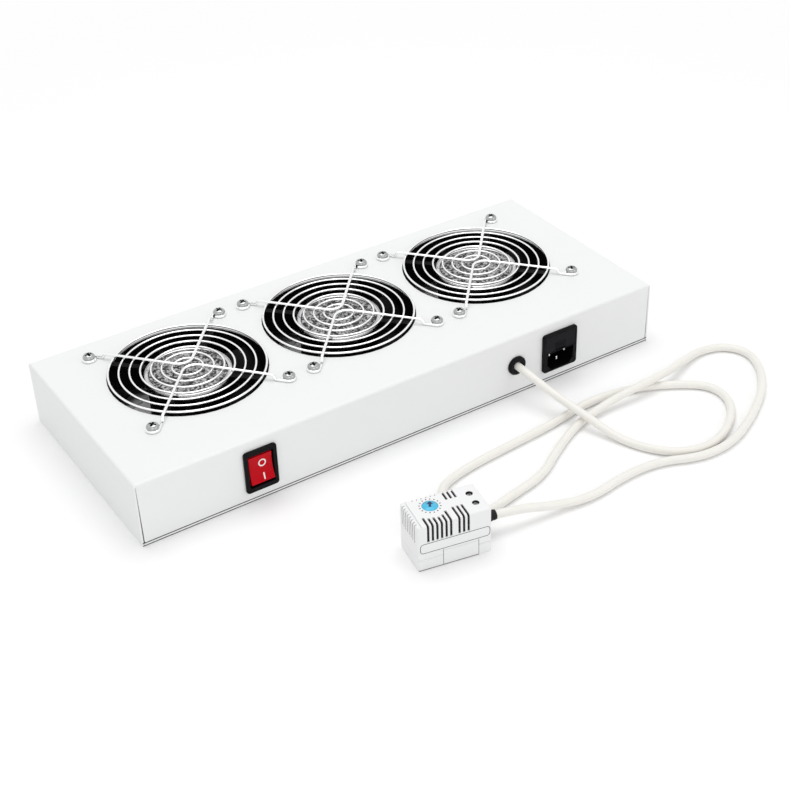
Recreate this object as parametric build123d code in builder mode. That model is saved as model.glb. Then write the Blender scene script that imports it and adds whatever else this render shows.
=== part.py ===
from build123d import *
import os
from math import cos, radians, sin, sqrt, tan

os.makedirs("parts", exist_ok=True)

# All lengths are in millimetres. X runs along the front, Y to the back, Z up.
# The origin is the middle of the tray's base, on the surface that it stands on.

# Tray
tray_length = 430.0
tray_depth = 176.0
tray_height = 50.0
sheet = 1.2
bend = 2.0
seam_top = 0.3
seam_bottom = 1.0
lip_depth = 12.0
base_sheet = 2.0
base_seam = 0.5
intake_radius = 58.0
intake_sides = 8
laid_gap = 0.3

# Fans, three in a row
fan_size = 120.0
fan_depth = 38.0
fan_flange = 4.5
fan_rim = 3.0
fan_wall = 2.0
fan_spacing = 5.0
fan_row_y = 13.0
screw_inset = 7.5
opening_margin = 0.5
opening_sides = 48

# Fan motors and rotors, drawn with flats round them
motor_radius = 31.0
motor_plate = 5.0
strut_width = 5.0
tube_radius = 5.5
tube_length = 22.0
shaft_radius = 2.0
running_gap = 0.05
running_hole_sides = 12
stator_radius = 24.0
stator_length = 20.0
stator_sides = 12
bore_sides = 32
hub_sides = 24
rotor_radius = 30.0
cup_wall = 2.0
cup_floor = 2.5
cup_gap = 1.2
rotor_lift = 4.0
blade_count = 5
blade_edge = 1.0
blade_bulge = 3.2
blade_chord = 40.0
blade_pitch = 36.0
blade_root = 22.0
tip_gap = 1.2

# Wire guards
ring_count = 7
first_ring = 11.0
ring_pitch = 7.5
ring_wire = 1.6
first_ring_sides = 12
ring_sides_step = 2
arm_wire = 2.2
arm_rise = 3.3
arm_corner = 1.7
ramp_length = 4.0
loop_run = 12.0
loop_radius = 4.2
loop_turn = 285.0
loop_bends = 6

# Fasteners, drawn with flats round them
small_sides = 6
head_sides = 8
fan_screw_radius = 2.0
fan_screw_head = 4.0
fan_screw_head_height = 2.4
fan_screw_length = 12.0
base_screw_radius = 1.5
base_screw_head = 3.0
base_screw_pitch = 280.0
screw_clearance = 0.2
fixing_hole = 2.75
fixing_pitch_x = 400.0
fixing_pitch_y = 140.0

# Front panel: the height of what it carries, and the gap round it
panel_z = 25.3
panel_gap = 0.2
bezel_corner = 1.8

# Rocker switch
switch_x = -124.5
switch_bezel_width = 25.0
switch_bezel_height = 33.5
switch_bezel = 2.0
switch_body_width = 21.6
switch_body_height = 29.6
switch_body_depth = 22.0
rocker_width = 17.2
rocker_height = 20.6
rocker_reach = 5.2
rocker_back = 3.0
rocker_dish = 1.0
rocker_tilt = 7.0
rocker_gap = 0.3
rocker_room = 5.5
rocker_clear = 0.2
pivot_depth = 3.0
pivot_radius = 1.5
pivot_length = 1.2
tab_width = 4.8
tab_thickness = 0.8
tab_length = 8.0
tab_pitch = 14.0

# Mains inlet with its fuse drawer
inlet_x = 128.0
inlet_bezel_width = 31.0
inlet_bezel_height = 32.5
inlet_bezel = 2.5
inlet_body_width = 27.6
inlet_body_height = 30.6
inlet_body_depth = 22.0
socket_width = 24.0
socket_height = 14.4
socket_chamfer = 4.0
socket_depth = 15.0
socket_z = 18.0
pin_pitch = 14.0
pin_width = 2.0
pin_height = 4.0
pin_rise = 3.0
earth_drop = 1.8
pin_setback = 2.0
pin_tail = 6.0
drawer_z = 33.0
drawer_face_width = 27.0
drawer_face_height = 13.6
drawer_face = 1.5
drawer_width = 24.0
drawer_height = 9.0
drawer_depth = 17.0
drawer_wall = 1.2
drawer_gap = 0.3
drawer_grip = 8.0
fuse_side = 5.0
fuse_length = 20.0

# Grommet and cord
grommet_x = 89.0
grommet_radius = 7.5
grommet_neck = 6.0
grommet_flange = 2.0
grommet_tail = 3.0
grommet_sides = 16
cord_diameter = 6.0
cord_gap = 0.1
cord_sides = 5
cord_hole_sides = 12
cord_bend_share = 0.45

# Terminal block and earth stud, in front of the fans
block_x = 30.0
block_y = -66.0
block_length = 52.0
block_width = 18.0
block_height = 15.0
block_ways = 5
block_pocket = 6.0
block_pocket_depth = 8.0
block_pitch = 10.0
earth_x = 175.0
earth_y = -62.0
stud_radius = 2.0
stud_height = 12.0
nut_height = 3.2
nut_radius = 4.0

# Thermostat, which lies beside the tray
stat_x = -81.2
stat_y = -212.5
stat_turn = -10.9
stat_length = 51.6
stat_width = 29.4
stat_height = 34.9
stat_wall = 1.6
stat_edge = 1.2
stat_base = 8.4
stat_fit = 0.2
tongue_start = 17.9
tongue_end = 42.2
tongue_top = 11.7
dial_u = 16.7
dial_v = 18.4
dial_radius = 5.5
dial_hole_sides = 24
dial_height = 4.0
dial_slot_width = 1.0
dial_slot_length = 8.0
dial_slot_depth = 0.6
slot_width = 1.3
slot_pitch = 3.15
slot_foot = 20.4
short_slot_start = 7.6
short_slot_reaches = [8.0, 6.0, 4.6, 4.6, 7.0, 12.7]
long_slot_start = 29.1
long_slots = 3
long_slot_reach = 11.8
back_slot_reach = 2.6
long_back_slot_reach = 9.5
end_slots = 7
end_slot_width = 0.9
end_slot_pitch = 2.9
end_slot_foot = 14.0
groove_u = 3.2
groove_width = 0.7
groove_depth = 0.5
terminal_u = 44.6
terminal_v = 14.6
terminal_pitch = 10.2
terminal_hole = 2.7
terminal_hole_sides = 12
terminal_screw = 1.9
terminal_screw_height = 5.0
terminal_block_length = 10.0
terminal_block_foot = 20.0
terminal_block_top = 28.0
bimetal_length = 22.0
bimetal_width = 7.0
bimetal_sheet = 0.8
bimetal_z = 26.0
gland_v = 17.0
gland_z = 14.0
gland_radius = 4.3
gland_length = 8.4
gland_end_radius = 3.8
gland_sides = 12
gland_neck = 3.8

# Cord's route, from inside the panel to inside the thermostat
cord_route = [
    (89, -76, 25.4),
    (89, -101, 25.4),
    (97, -125, 15.5),
    (103, -150, 11),
    (111, -178, 3.1),
    (121, -201, 3.1),
    (138, -218, 3.1),
    (162, -222, 3.1),
    (187, -211, 3.1),
    (207, -191, 3.1),
    (210, -168, 3.1),
    (191, -151, 3.1),
    (158, -135, 3.1),
    (122, -130.5, 3.1),
    (82, -138, 3.1),
    (42, -141, 3.1),
    (4, -144.5, 3.1),
    (-22, -151.5, 3.1),
    (-31, -167, 3.1),
    (-26.5, -184, 3.1),
    (-11, -192.5, 3.1),
    (12, -187, 3.1),
    (42, -181.5, 3.1),
    (68, -164, 3.1),
    (98, -148, 3.1),
    (130, -143, 6),
    (159, -144, 9.8),
    (189, -142, 9.8),
    (212, -133, 5.5),
    (233, -127, 3.1),
    (253, -132, 3.1),
    (263, -149, 3.1),
    (256, -170, 3.1),
    (236, -193, 3.1),
    (206, -213, 3.1),
    (174, -228, 3.1),
    (144, -228.5, 3.1),
    (117, -215, 3.1),
    (86, -214, 3.1),
    (56, -219.5, 3.1),
    (28, -215, 5),
    (-2.96, -210.25, 14),
    (-32.82, -204.51, 14),
]

# Values worked out from the sizes above
front = -tray_depth / 2
inner_length = tray_length - 2 * sheet
top_under = tray_height - sheet
flange_lift = base_sheet + base_seam
fan_bottom = top_under - fan_depth
fan_bore = fan_size / 2 - fan_rim
opening_radius = fan_bore + opening_margin
screw_square = fan_size - 2 * screw_inset
fan_pitch = fan_size + fan_spacing
fan_places = {"left": -fan_pitch, "middle": 0.0, "right": fan_pitch}
fan_centres = [(x, fan_row_y) for x in fan_places.values()]
base_screw_y = tray_depth - 2 * sheet - lip_depth
front_plane = Plane(origin=(0, front, 0), x_dir=(1, 0, 0), z_dir=(0, -1, 0))
stat_plane = Plane(
    origin=(stat_x, stat_y, 0),
    x_dir=(cos(radians(stat_turn)), sin(radians(stat_turn)), 0),
    z_dir=(0, 0, 1),
)


def write(part, name):
    part.label = name
    export_step(part, f"parts/{name}.step")


# Top cover: a sheet folded down on four sides, with return lips at the front and back
lip_length = inner_length - 2 * seam_bottom
lip_y = tray_depth - lip_depth

with BuildPart() as top_cover:
    with BuildSketch():
        Rectangle(tray_length, tray_depth)
    extrude(amount=tray_height)
    fillet(top_cover.faces().sort_by(Axis.Z)[-1].edges(), radius=bend)
    offset(amount=-sheet, openings=top_cover.faces().sort_by(Axis.Z)[0])
    with BuildSketch():
        Rectangle(inner_length, 2 * tray_depth)
    extrude(amount=flange_lift, mode=Mode.SUBTRACT)
    with BuildSketch(Plane.XY.offset(flange_lift)):
        with GridLocations(0, lip_y, 1, 2):
            Rectangle(lip_length, lip_depth)
    extrude(amount=sheet)
    with BuildSketch(Plane.XZ):
        for end in (-1, 1):
            with BuildLine():
                Polyline(
                    (end * inner_length / 2, 0),
                    (end * (inner_length / 2 - seam_bottom), 0),
                    (end * (inner_length / 2 - seam_top), tray_height - bend),
                    (end * inner_length / 2, tray_height - bend),
                    close=True,
                )
            make_face()
    extrude(amount=tray_depth, both=True, mode=Mode.SUBTRACT)
    with BuildSketch(Plane.XY.offset(top_under)):
        with Locations(*fan_centres):
            RegularPolygon(opening_radius, opening_sides)
            with GridLocations(screw_square, screw_square, 2, 2):
                RegularPolygon(fan_screw_radius + screw_clearance, small_sides)
    extrude(amount=sheet, mode=Mode.SUBTRACT)
    with BuildSketch(front_plane):
        with Locations((switch_x, panel_z)):
            Rectangle(switch_body_width + 2 * panel_gap, switch_body_height + 2 * panel_gap)
        with Locations((inlet_x, panel_z)):
            Rectangle(inlet_body_width + 2 * panel_gap, inlet_body_height + 2 * panel_gap)
        with Locations((grommet_x, panel_z)):
            RegularPolygon(grommet_neck + panel_gap, small_sides)
    extrude(amount=-sheet, mode=Mode.SUBTRACT)
    with BuildSketch(Plane.XY.offset(flange_lift)):
        with GridLocations(base_screw_pitch, base_screw_y, 2, 2):
            RegularPolygon(base_screw_radius + screw_clearance, small_sides)
    extrude(amount=sheet, mode=Mode.SUBTRACT)
write(top_cover.part, "top_cover")

# Base plate: closes the tray from below, with three eight-sided intake openings
with BuildPart() as base_plate:
    with BuildSketch():
        Rectangle(inner_length - 2 * laid_gap, tray_depth)
        with Locations(*fan_centres):
            RegularPolygon(intake_radius, intake_sides, mode=Mode.SUBTRACT)
        with GridLocations(fixing_pitch_x, fixing_pitch_y, 2, 2):
            Circle(fixing_hole, mode=Mode.SUBTRACT)
        with GridLocations(base_screw_pitch, base_screw_y, 2, 2):
            RegularPolygon(base_screw_radius + screw_clearance, small_sides, mode=Mode.SUBTRACT)
    extrude(amount=base_sheet)
    with BuildSketch():
        with GridLocations(base_screw_pitch, base_screw_y, 2, 2):
            RegularPolygon(base_screw_head + screw_clearance, small_sides)
    extrude(amount=base_screw_head - base_screw_radius, taper=45, mode=Mode.SUBTRACT)
write(base_plate.part, "base_plate")

# Base screws: four countersunk ones, flush with the underside
with BuildPart() as base_screws:
    with BuildSketch():
        with GridLocations(base_screw_pitch, base_screw_y, 2, 2):
            RegularPolygon(base_screw_radius, small_sides)
    extrude(amount=flange_lift + sheet)
    with BuildSketch():
        with GridLocations(base_screw_pitch, base_screw_y, 2, 2):
            RegularPolygon(base_screw_head, small_sides)
    extrude(amount=base_screw_head - base_screw_radius, taper=45)
write(base_screws.part, "base_screws")


# Fan frame: two square flanges on an eight-sided waist, struts and the motor's plate
def make_fan_frame(name, centre_x):
    foot = Plane(origin=(centre_x, fan_row_y, fan_bottom))
    under_plate = foot.offset(fan_depth - motor_plate)
    with BuildPart() as frame:
        with BuildSketch(foot):
            Rectangle(fan_size, fan_size)
            with GridLocations(screw_square, screw_square, 2, 2):
                RegularPolygon(fan_screw_radius + screw_clearance, small_sides, mode=Mode.SUBTRACT)
        extrude(amount=fan_depth)
        with BuildSketch(foot.offset(fan_flange)):
            with GridLocations(fan_size, fan_size, 2, 2):
                Rectangle(4 * screw_inset, 4 * screw_inset, rotation=45)
        extrude(amount=fan_depth - 2 * fan_flange, mode=Mode.SUBTRACT)
        with BuildSketch(foot):
            RegularPolygon(fan_bore, bore_sides)
        extrude(amount=fan_depth, mode=Mode.SUBTRACT)
        with BuildSketch(under_plate):
            Rectangle(2 * fan_bore + fan_wall, strut_width, rotation=45)
            Rectangle(2 * fan_bore + fan_wall, strut_width, rotation=135)
            RegularPolygon(motor_radius, hub_sides)
        extrude(amount=motor_plate)
        with BuildSketch(under_plate):
            RegularPolygon(tube_radius, stator_sides)
        extrude(amount=-tube_length)
        with BuildSketch(under_plate):
            RegularPolygon(shaft_radius + running_gap, running_hole_sides, major_radius=False)
        extrude(amount=-tube_length, mode=Mode.SUBTRACT)
    write(frame.part, name)


# Stator: the laminated core that sits round the motor's tube
def make_stator(name, centre_x):
    under_plate = Plane(origin=(centre_x, fan_row_y, top_under - motor_plate))
    with BuildPart() as stator:
        with BuildSketch(under_plate):
            RegularPolygon(stator_radius, stator_sides)
            RegularPolygon(tube_radius + running_gap, stator_sides, mode=Mode.SUBTRACT)
        extrude(amount=-stator_length)
    write(stator.part, name)


# Rotor: a cup moulded on its shaft, with blades flat below, bulged above and set at an angle
rotor_bottom = fan_bottom + rotor_lift
rotor_top = top_under - motor_plate - cup_gap
blade_z = (rotor_bottom + rotor_top) / 2
boss_radius = 3 * shaft_radius
boss_top = top_under - motor_plate - tube_length - laid_gap
shaft_top = top_under - motor_plate - laid_gap
slope = radians(blade_pitch)


def make_rotor(name, centre_x):
    foot = Plane(origin=(centre_x, fan_row_y, rotor_bottom))
    with BuildPart() as rotor:
        with BuildSketch(foot):
            RegularPolygon(rotor_radius, hub_sides)
        extrude(amount=rotor_top - rotor_bottom)
        for i in range(blade_count):
            turn = radians(360 * i / blade_count)
            out = Plane(
                origin=(centre_x, fan_row_y, blade_z),
                x_dir=(-sin(turn) * cos(slope), cos(turn) * cos(slope), sin(slope)),
                z_dir=(cos(turn), sin(turn), 0),
            )
            with BuildSketch(out.offset(blade_root)):
                with BuildLine():
                    over = ThreePointArc(
                        (-blade_chord / 2, blade_edge),
                        (0, blade_bulge),
                        (blade_chord / 2, blade_edge),
                    )
                    Polyline(over @ 0, (-blade_chord / 2, 0), (blade_chord / 2, 0), over @ 1)
                make_face()
            extrude(amount=fan_bore - blade_root)
        with BuildSketch(foot):
            RegularPolygon(fan_bore - tip_gap, bore_sides)
        extrude(amount=rotor_top - rotor_bottom, mode=Mode.INTERSECT)
        with BuildSketch(foot.offset(cup_floor)):
            RegularPolygon(rotor_radius - cup_wall, stator_sides)
        extrude(amount=rotor_top - rotor_bottom, mode=Mode.SUBTRACT)
        with BuildSketch(foot):
            RegularPolygon(boss_radius, stator_sides)
        extrude(amount=boss_top - rotor_bottom)
        with BuildSketch(foot):
            Circle(shaft_radius)
        extrude(amount=shaft_top - rotor_bottom)
    write(rotor.part, name)


for side, centre_x in fan_places.items():
    make_fan_frame(f"fan_frame_{side}", centre_x)
    make_stator(f"stator_{side}", centre_x)
    make_rotor(f"rotor_{side}", centre_x)

# Outlet guards: rings under two bent wires, whose ends loop round the screws
loop_z = tray_height + arm_wire / 2
arm_z = loop_z + arm_rise
ring_top = arm_z - arm_wire / 2


def arm_points(opens):
    screw = screw_square / 2
    beside = loop_radius / sqrt(2)
    touch = (screw - beside, screw + beside)
    lift = loop_run / sqrt(2)
    ramp = lift + ramp_length / sqrt(2)
    half = []
    for i in range(loop_bends, -1, -1):
        turn = radians(135 - loop_turn * i / loop_bends)
        half.append((screw + loop_radius * cos(turn), screw + loop_radius * sin(turn), loop_z))
    half.append((touch[0] - lift, touch[1] - lift, loop_z))
    half.append((touch[0] - ramp, touch[1] - ramp, arm_z))
    corner = [(0, arm_corner, arm_z)]
    other = [(-x, y, z) for x, y, z in reversed(half)]
    return [(x, opens * y, z) for x, y, z in half + corner + other]


with BuildPart() as outlet_guards:
    for centre_x in fan_places.values():
        centre = Plane(origin=(centre_x, fan_row_y, 0))
        for i in range(ring_count):
            radius = first_ring + i * ring_pitch
            sides = first_ring_sides + i * ring_sides_step
            with BuildSketch(centre.offset(ring_top)):
                RegularPolygon(radius + ring_wire / 2, sides)
                RegularPolygon(radius - ring_wire / 2, sides, mode=Mode.SUBTRACT)
            extrude(amount=-ring_wire)
        for opens in (-1, 1):
            with BuildLine(centre) as arm:
                Polyline(*arm_points(opens))
            with BuildSketch(Plane(origin=arm.line @ 0, z_dir=arm.line % 0)):
                Rectangle(arm_wire, arm_wire)
            sweep(path=arm.line, transition=Transition.RIGHT)
write(outlet_guards.part, "outlet_guards")

# Fan screws: twelve pan heads, on the guards' loops
with BuildPart() as fan_screws:
    with BuildSketch(Plane.XY.offset(tray_height + arm_wire)):
        with Locations(*fan_centres):
            with GridLocations(screw_square, screw_square, 2, 2):
                RegularPolygon(fan_screw_head, head_sides)
    extrude(amount=fan_screw_head_height)
    with BuildSketch(Plane.XY.offset(tray_height + arm_wire)):
        with Locations(*fan_centres):
            with GridLocations(screw_square, screw_square, 2, 2):
                RegularPolygon(fan_screw_radius, small_sides)
    extrude(amount=-fan_screw_length)
write(fan_screws.part, "fan_screws")

# Rocker switch: bezel outside the panel, body behind it
switch_face = front_plane.offset(switch_bezel)
rocker_end = sqrt((rocker_height / 2) ** 2 + rocker_reach**2)
pocket_depth = switch_bezel + pivot_depth + rocker_room

with BuildPart() as switch_body:
    with BuildSketch(front_plane) as bezel:
        with Locations((switch_x, panel_z)):
            Rectangle(switch_bezel_width, switch_bezel_height)
        chamfer(bezel.vertices(), length=bezel_corner)
    extrude(amount=switch_bezel)
    chamfer(switch_body.faces().sort_by(Axis.Y)[0].edges(), length=switch_bezel / 3)
    with BuildSketch(front_plane):
        with Locations((switch_x, panel_z)):
            Rectangle(switch_body_width, switch_body_height)
    extrude(amount=-switch_body_depth)
    with BuildSketch(switch_face):
        with Locations((switch_x, panel_z)):
            Rectangle(rocker_width + 2 * rocker_gap, 2 * (rocker_end + rocker_clear))
    extrude(amount=-pocket_depth, mode=Mode.SUBTRACT)
    with BuildSketch(Plane(origin=(switch_x, 0, 0), x_dir=(0, 1, 0), z_dir=(1, 0, 0))):
        with Locations((front + pivot_depth, panel_z)):
            RegularPolygon(pivot_radius + running_gap, running_hole_sides, major_radius=False)
    extrude(amount=switch_body_width, both=True, mode=Mode.SUBTRACT)
write(switch_body.part, "switch_body")

# Rocker: dished on the outside, with round ends about its pivot, O side pressed in
pivot = Plane(
    origin=(switch_x, front + pivot_depth, panel_z),
    x_dir=(0, sin(radians(rocker_tilt)), cos(radians(rocker_tilt))),
    z_dir=(1, 0, 0),
)
half_height = rocker_height / 2
back_half = sqrt(rocker_end**2 - rocker_back**2)

with BuildPart() as rocker:
    with BuildSketch(pivot):
        with BuildLine():
            ThreePointArc(
                (-half_height, rocker_reach),
                (0, rocker_reach - rocker_dish),
                (half_height, rocker_reach),
            )
            ThreePointArc((half_height, rocker_reach), (rocker_end, 0), (back_half, -rocker_back))
            Line((back_half, -rocker_back), (-back_half, -rocker_back))
            ThreePointArc((-back_half, -rocker_back), (-rocker_end, 0), (-half_height, rocker_reach))
        make_face()
    extrude(amount=rocker_width / 2, both=True)
    with BuildSketch(pivot):
        Circle(pivot_radius)
    extrude(amount=rocker_width / 2 + pivot_length, both=True)
write(rocker.part, "rocker")

# Switch tabs: flat blades out of the back of the body
with BuildPart() as switch_tabs:
    with BuildSketch(front_plane.offset(-switch_body_depth)):
        with Locations((switch_x, panel_z)):
            with GridLocations(0, tab_pitch, 1, 2):
                Rectangle(tab_width, tab_thickness)
    extrude(amount=-tab_length)
write(switch_tabs.part, "switch_tabs")

# Mains inlet: bezel, body, socket and the guide for the fuse drawer
inlet_face = front_plane.offset(inlet_bezel)
pin_places = [
    (inlet_x - pin_pitch / 2, socket_z + pin_rise),
    (inlet_x + pin_pitch / 2, socket_z + pin_rise),
    (inlet_x, socket_z - earth_drop),
]

with BuildPart() as inlet_body:
    with BuildSketch(front_plane) as bezel:
        with Locations((inlet_x, panel_z)):
            Rectangle(inlet_bezel_width, inlet_bezel_height)
        chamfer(bezel.vertices(), length=bezel_corner)
    extrude(amount=inlet_bezel)
    chamfer(inlet_body.faces().sort_by(Axis.Y)[0].edges(), length=inlet_bezel / 3)
    with BuildSketch(front_plane):
        with Locations((inlet_x, panel_z)):
            Rectangle(inlet_body_width, inlet_body_height)
    extrude(amount=-inlet_body_depth)
    with BuildSketch(inlet_face) as socket:
        with Locations((inlet_x, socket_z)):
            Rectangle(socket_width, socket_height)
        chamfer(socket.vertices().group_by(Axis.Y)[0], length=socket_chamfer)
    extrude(amount=-socket_depth, mode=Mode.SUBTRACT)
    with BuildSketch(inlet_face):
        with Locations((inlet_x, drawer_z)):
            Rectangle(drawer_face_width + drawer_gap, drawer_face_height + drawer_gap)
    extrude(amount=-drawer_face, mode=Mode.SUBTRACT)
    with BuildSketch(inlet_face):
        with Locations((inlet_x, drawer_z)):
            Rectangle(drawer_width + 2 * drawer_gap, drawer_height + 2 * drawer_gap)
    extrude(amount=-drawer_face - drawer_depth - drawer_gap, mode=Mode.SUBTRACT)
    with BuildSketch(inlet_face):
        with Locations(*pin_places):
            Rectangle(pin_width, pin_height)
    extrude(amount=-inlet_bezel - inlet_body_depth, mode=Mode.SUBTRACT)
write(inlet_body.part, "inlet_body")

# Inlet pins: two for the supply and one for earth, through the back of the socket
with BuildPart() as inlet_pins:
    with BuildSketch(inlet_face.offset(-pin_setback)):
        with Locations(*pin_places):
            Rectangle(pin_width, pin_height)
    extrude(amount=pin_setback - inlet_bezel - inlet_body_depth - pin_tail)
write(inlet_pins.part, "inlet_pins")

# Fuse drawer: face plate with a finger notch, and a tray for the fuse behind it
with BuildPart() as fuse_drawer:
    with BuildSketch(inlet_face.offset(-drawer_face)):
        with Locations((inlet_x, drawer_z)):
            Rectangle(drawer_face_width, drawer_face_height)
    extrude(amount=drawer_face)
    with BuildSketch(inlet_face.offset(-drawer_face)):
        with Locations((inlet_x, drawer_z)):
            Rectangle(drawer_width, drawer_height)
    extrude(amount=-drawer_depth)
    with BuildSketch(Plane.XY.offset(drawer_z - drawer_height / 2 + drawer_wall)):
        with Locations((inlet_x, front - inlet_bezel + drawer_face + drawer_depth / 2)):
            Rectangle(drawer_width - 2 * drawer_wall, drawer_depth - 2 * drawer_wall)
    extrude(amount=drawer_height, mode=Mode.SUBTRACT)
    with BuildSketch(inlet_face):
        with Locations((inlet_x, drawer_z - drawer_face_height / 2)):
            Rectangle(drawer_grip, 2 * drawer_wall)
    extrude(amount=-drawer_face / 2, mode=Mode.SUBTRACT)
write(fuse_drawer.part, "fuse_drawer")

# Fuse: lies on the drawer's floor
with BuildPart() as fuse:
    with BuildSketch(Plane(origin=(inlet_x, 0, 0), x_dir=(0, 1, 0), z_dir=(1, 0, 0))):
        with Locations(
            (
                front - inlet_bezel + drawer_face + drawer_depth / 2,
                drawer_z - drawer_height / 2 + drawer_wall + fuse_side / 2,
            )
        ):
            Rectangle(fuse_side, fuse_side)
    extrude(amount=fuse_length / 2, both=True)
write(fuse.part, "fuse")

# Grommet: round flange outside the panel, neck through it
cord_radius = cord_diameter / 2

with BuildPart() as cord_grommet:
    with BuildSketch(front_plane):
        with Locations((grommet_x, panel_z)):
            RegularPolygon(grommet_radius, grommet_sides)
    extrude(amount=grommet_flange)
    with BuildSketch(front_plane):
        with Locations((grommet_x, panel_z)):
            RegularPolygon(grommet_neck, small_sides)
    extrude(amount=-sheet - grommet_tail)
    with BuildSketch(front_plane.offset(grommet_flange)):
        with Locations((grommet_x, cord_route[0][2])):
            RegularPolygon(cord_radius + cord_gap, cord_hole_sides, major_radius=False)
    extrude(amount=-grommet_flange - sheet - grommet_tail, mode=Mode.SUBTRACT)
write(cord_grommet.part, "cord_grommet")

# Terminal block: one pocket for each way, on the base plate
with BuildPart() as terminal_block:
    with BuildSketch(Plane.XY.offset(base_sheet)):
        with Locations((block_x, block_y)):
            Rectangle(block_length, block_width)
    extrude(amount=block_height)
    with BuildSketch(Plane.XY.offset(base_sheet + block_height)):
        with Locations((block_x, block_y)):
            with GridLocations(block_pitch, 0, block_ways, 1):
                Rectangle(block_pocket, block_pocket)
    extrude(amount=-block_pocket_depth, mode=Mode.SUBTRACT)
write(terminal_block.part, "terminal_block")

# Earth stud and its nut
with BuildPart() as earth_stud:
    with BuildSketch(Plane.XY.offset(base_sheet)):
        with Locations((earth_x, earth_y)):
            RegularPolygon(stud_radius, small_sides)
    extrude(amount=stud_height)
write(earth_stud.part, "earth_stud")

with BuildPart() as earth_nut:
    with BuildSketch(Plane.XY.offset(base_sheet)):
        with Locations((earth_x, earth_y)):
            RegularPolygon(nut_radius, 6)
            RegularPolygon(stud_radius + running_gap, small_sides, mode=Mode.SUBTRACT)
    extrude(amount=nut_height)
write(earth_nut.part, "earth_nut")

# Thermostat housing: a box open below, slotted along both long edges
stat_top = stat_height - stat_wall
inside_length = stat_length - 2 * stat_wall
inside_width = stat_width - 2 * stat_wall
middle = (stat_length / 2, stat_width / 2)
terminal_places = [
    (terminal_u, terminal_v - terminal_pitch / 2),
    (terminal_u, terminal_v + terminal_pitch / 2),
]
slots = [
    (short_slot_start + i * slot_pitch, reach, back_slot_reach)
    for i, reach in enumerate(short_slot_reaches)
]
slots += [
    (long_slot_start + i * slot_pitch, long_slot_reach, long_back_slot_reach)
    for i in range(long_slots)
]
end_plane = Plane(
    origin=stat_plane.from_local_coords((stat_length, gland_v, gland_z)),
    x_dir=stat_plane.y_dir,
    z_dir=stat_plane.x_dir,
)

with BuildPart() as thermostat_housing:
    with BuildSketch(stat_plane.offset(stat_base)):
        with Locations(middle):
            Rectangle(stat_length, stat_width)
    extrude(amount=stat_height - stat_base)
    chamfer(thermostat_housing.edges().group_by(Axis.Z)[-1], length=stat_edge)
    with BuildSketch(stat_plane.offset(stat_base)):
        with Locations(middle):
            Rectangle(inside_length, inside_width)
    extrude(amount=stat_top - stat_base, mode=Mode.SUBTRACT)
    with BuildSketch(stat_plane.offset(stat_base)):
        with Locations(((tongue_start + tongue_end) / 2, stat_width / 2)):
            Rectangle(tongue_end - tongue_start + 2 * stat_fit, 2 * stat_width)
    extrude(amount=tongue_top + stat_fit - stat_base, mode=Mode.SUBTRACT)
    with BuildSketch(stat_plane.offset(stat_top)):
        for u, reach, back_reach in slots:
            with Locations((u, reach / 2)):
                Rectangle(slot_width, reach)
            with Locations((u, stat_width - back_reach / 2)):
                Rectangle(slot_width, back_reach)
    extrude(amount=stat_wall, mode=Mode.SUBTRACT)
    with BuildSketch(stat_plane.offset(slot_foot)):
        for u, _, _ in slots:
            with Locations((u, stat_wall / 2), (u, stat_width - stat_wall / 2)):
                Rectangle(slot_width, stat_wall)
    extrude(amount=stat_height - slot_foot, mode=Mode.SUBTRACT)
    with BuildSketch(stat_plane.offset(end_slot_foot)):
        with Locations((stat_wall / 2, stat_width / 2)):
            with GridLocations(0, end_slot_pitch, 1, end_slots):
                Rectangle(stat_wall, end_slot_width)
    extrude(amount=stat_height - end_slot_foot, mode=Mode.SUBTRACT)
    with BuildSketch(stat_plane.offset(stat_height - groove_depth)):
        with Locations((groove_u, stat_width / 2)):
            Rectangle(groove_width, stat_width)
    extrude(amount=groove_depth, mode=Mode.SUBTRACT)
    with BuildSketch(stat_plane.offset(stat_top)):
        with Locations((dial_u, dial_v)):
            RegularPolygon(dial_radius + running_gap, dial_hole_sides, major_radius=False)
        with Locations(*terminal_places):
            RegularPolygon(terminal_hole, terminal_hole_sides)
    extrude(amount=stat_wall, mode=Mode.SUBTRACT)
    with BuildSketch(end_plane):
        RegularPolygon(gland_neck, small_sides)
    extrude(amount=-stat_wall, mode=Mode.SUBTRACT)
write(thermostat_housing.part, "thermostat_housing")

# Thermostat base: closes the housing from below, with a tongue up each long side
with BuildPart() as thermostat_base:
    with BuildSketch(stat_plane):
        with Locations(middle):
            Rectangle(stat_length, stat_width)
    extrude(amount=stat_base)
    with BuildSketch(stat_plane.offset(stat_base)):
        with Locations(((tongue_start + tongue_end) / 2, stat_width / 2)):
            Rectangle(tongue_end - tongue_start, stat_width)
            Rectangle(tongue_end - tongue_start, inside_width, mode=Mode.SUBTRACT)
    extrude(amount=tongue_top - stat_base)
write(thermostat_base.part, "thermostat_base")

# Thermostat dial: turned with a screwdriver, flush with the top
with BuildPart() as thermostat_dial:
    with BuildSketch(stat_plane.offset(stat_height - dial_height)):
        with Locations((dial_u, dial_v)):
            Circle(dial_radius)
    extrude(amount=dial_height)
    with BuildSketch(stat_plane.offset(stat_height - dial_slot_depth)):
        with Locations((dial_u, dial_v)):
            Rectangle(dial_slot_width, dial_slot_length)
    extrude(amount=dial_slot_depth, mode=Mode.SUBTRACT)
write(thermostat_dial.part, "thermostat_dial")

# Terminals under the two holes, on a block that hangs from the housing's side walls
with BuildPart() as thermostat_terminals:
    with BuildSketch(stat_plane.offset(terminal_block_foot)):
        with Locations((terminal_u, stat_width / 2)):
            Rectangle(terminal_block_length, inside_width)
    extrude(amount=terminal_block_top - terminal_block_foot)
write(thermostat_terminals.part, "thermostat_terminals")

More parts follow.
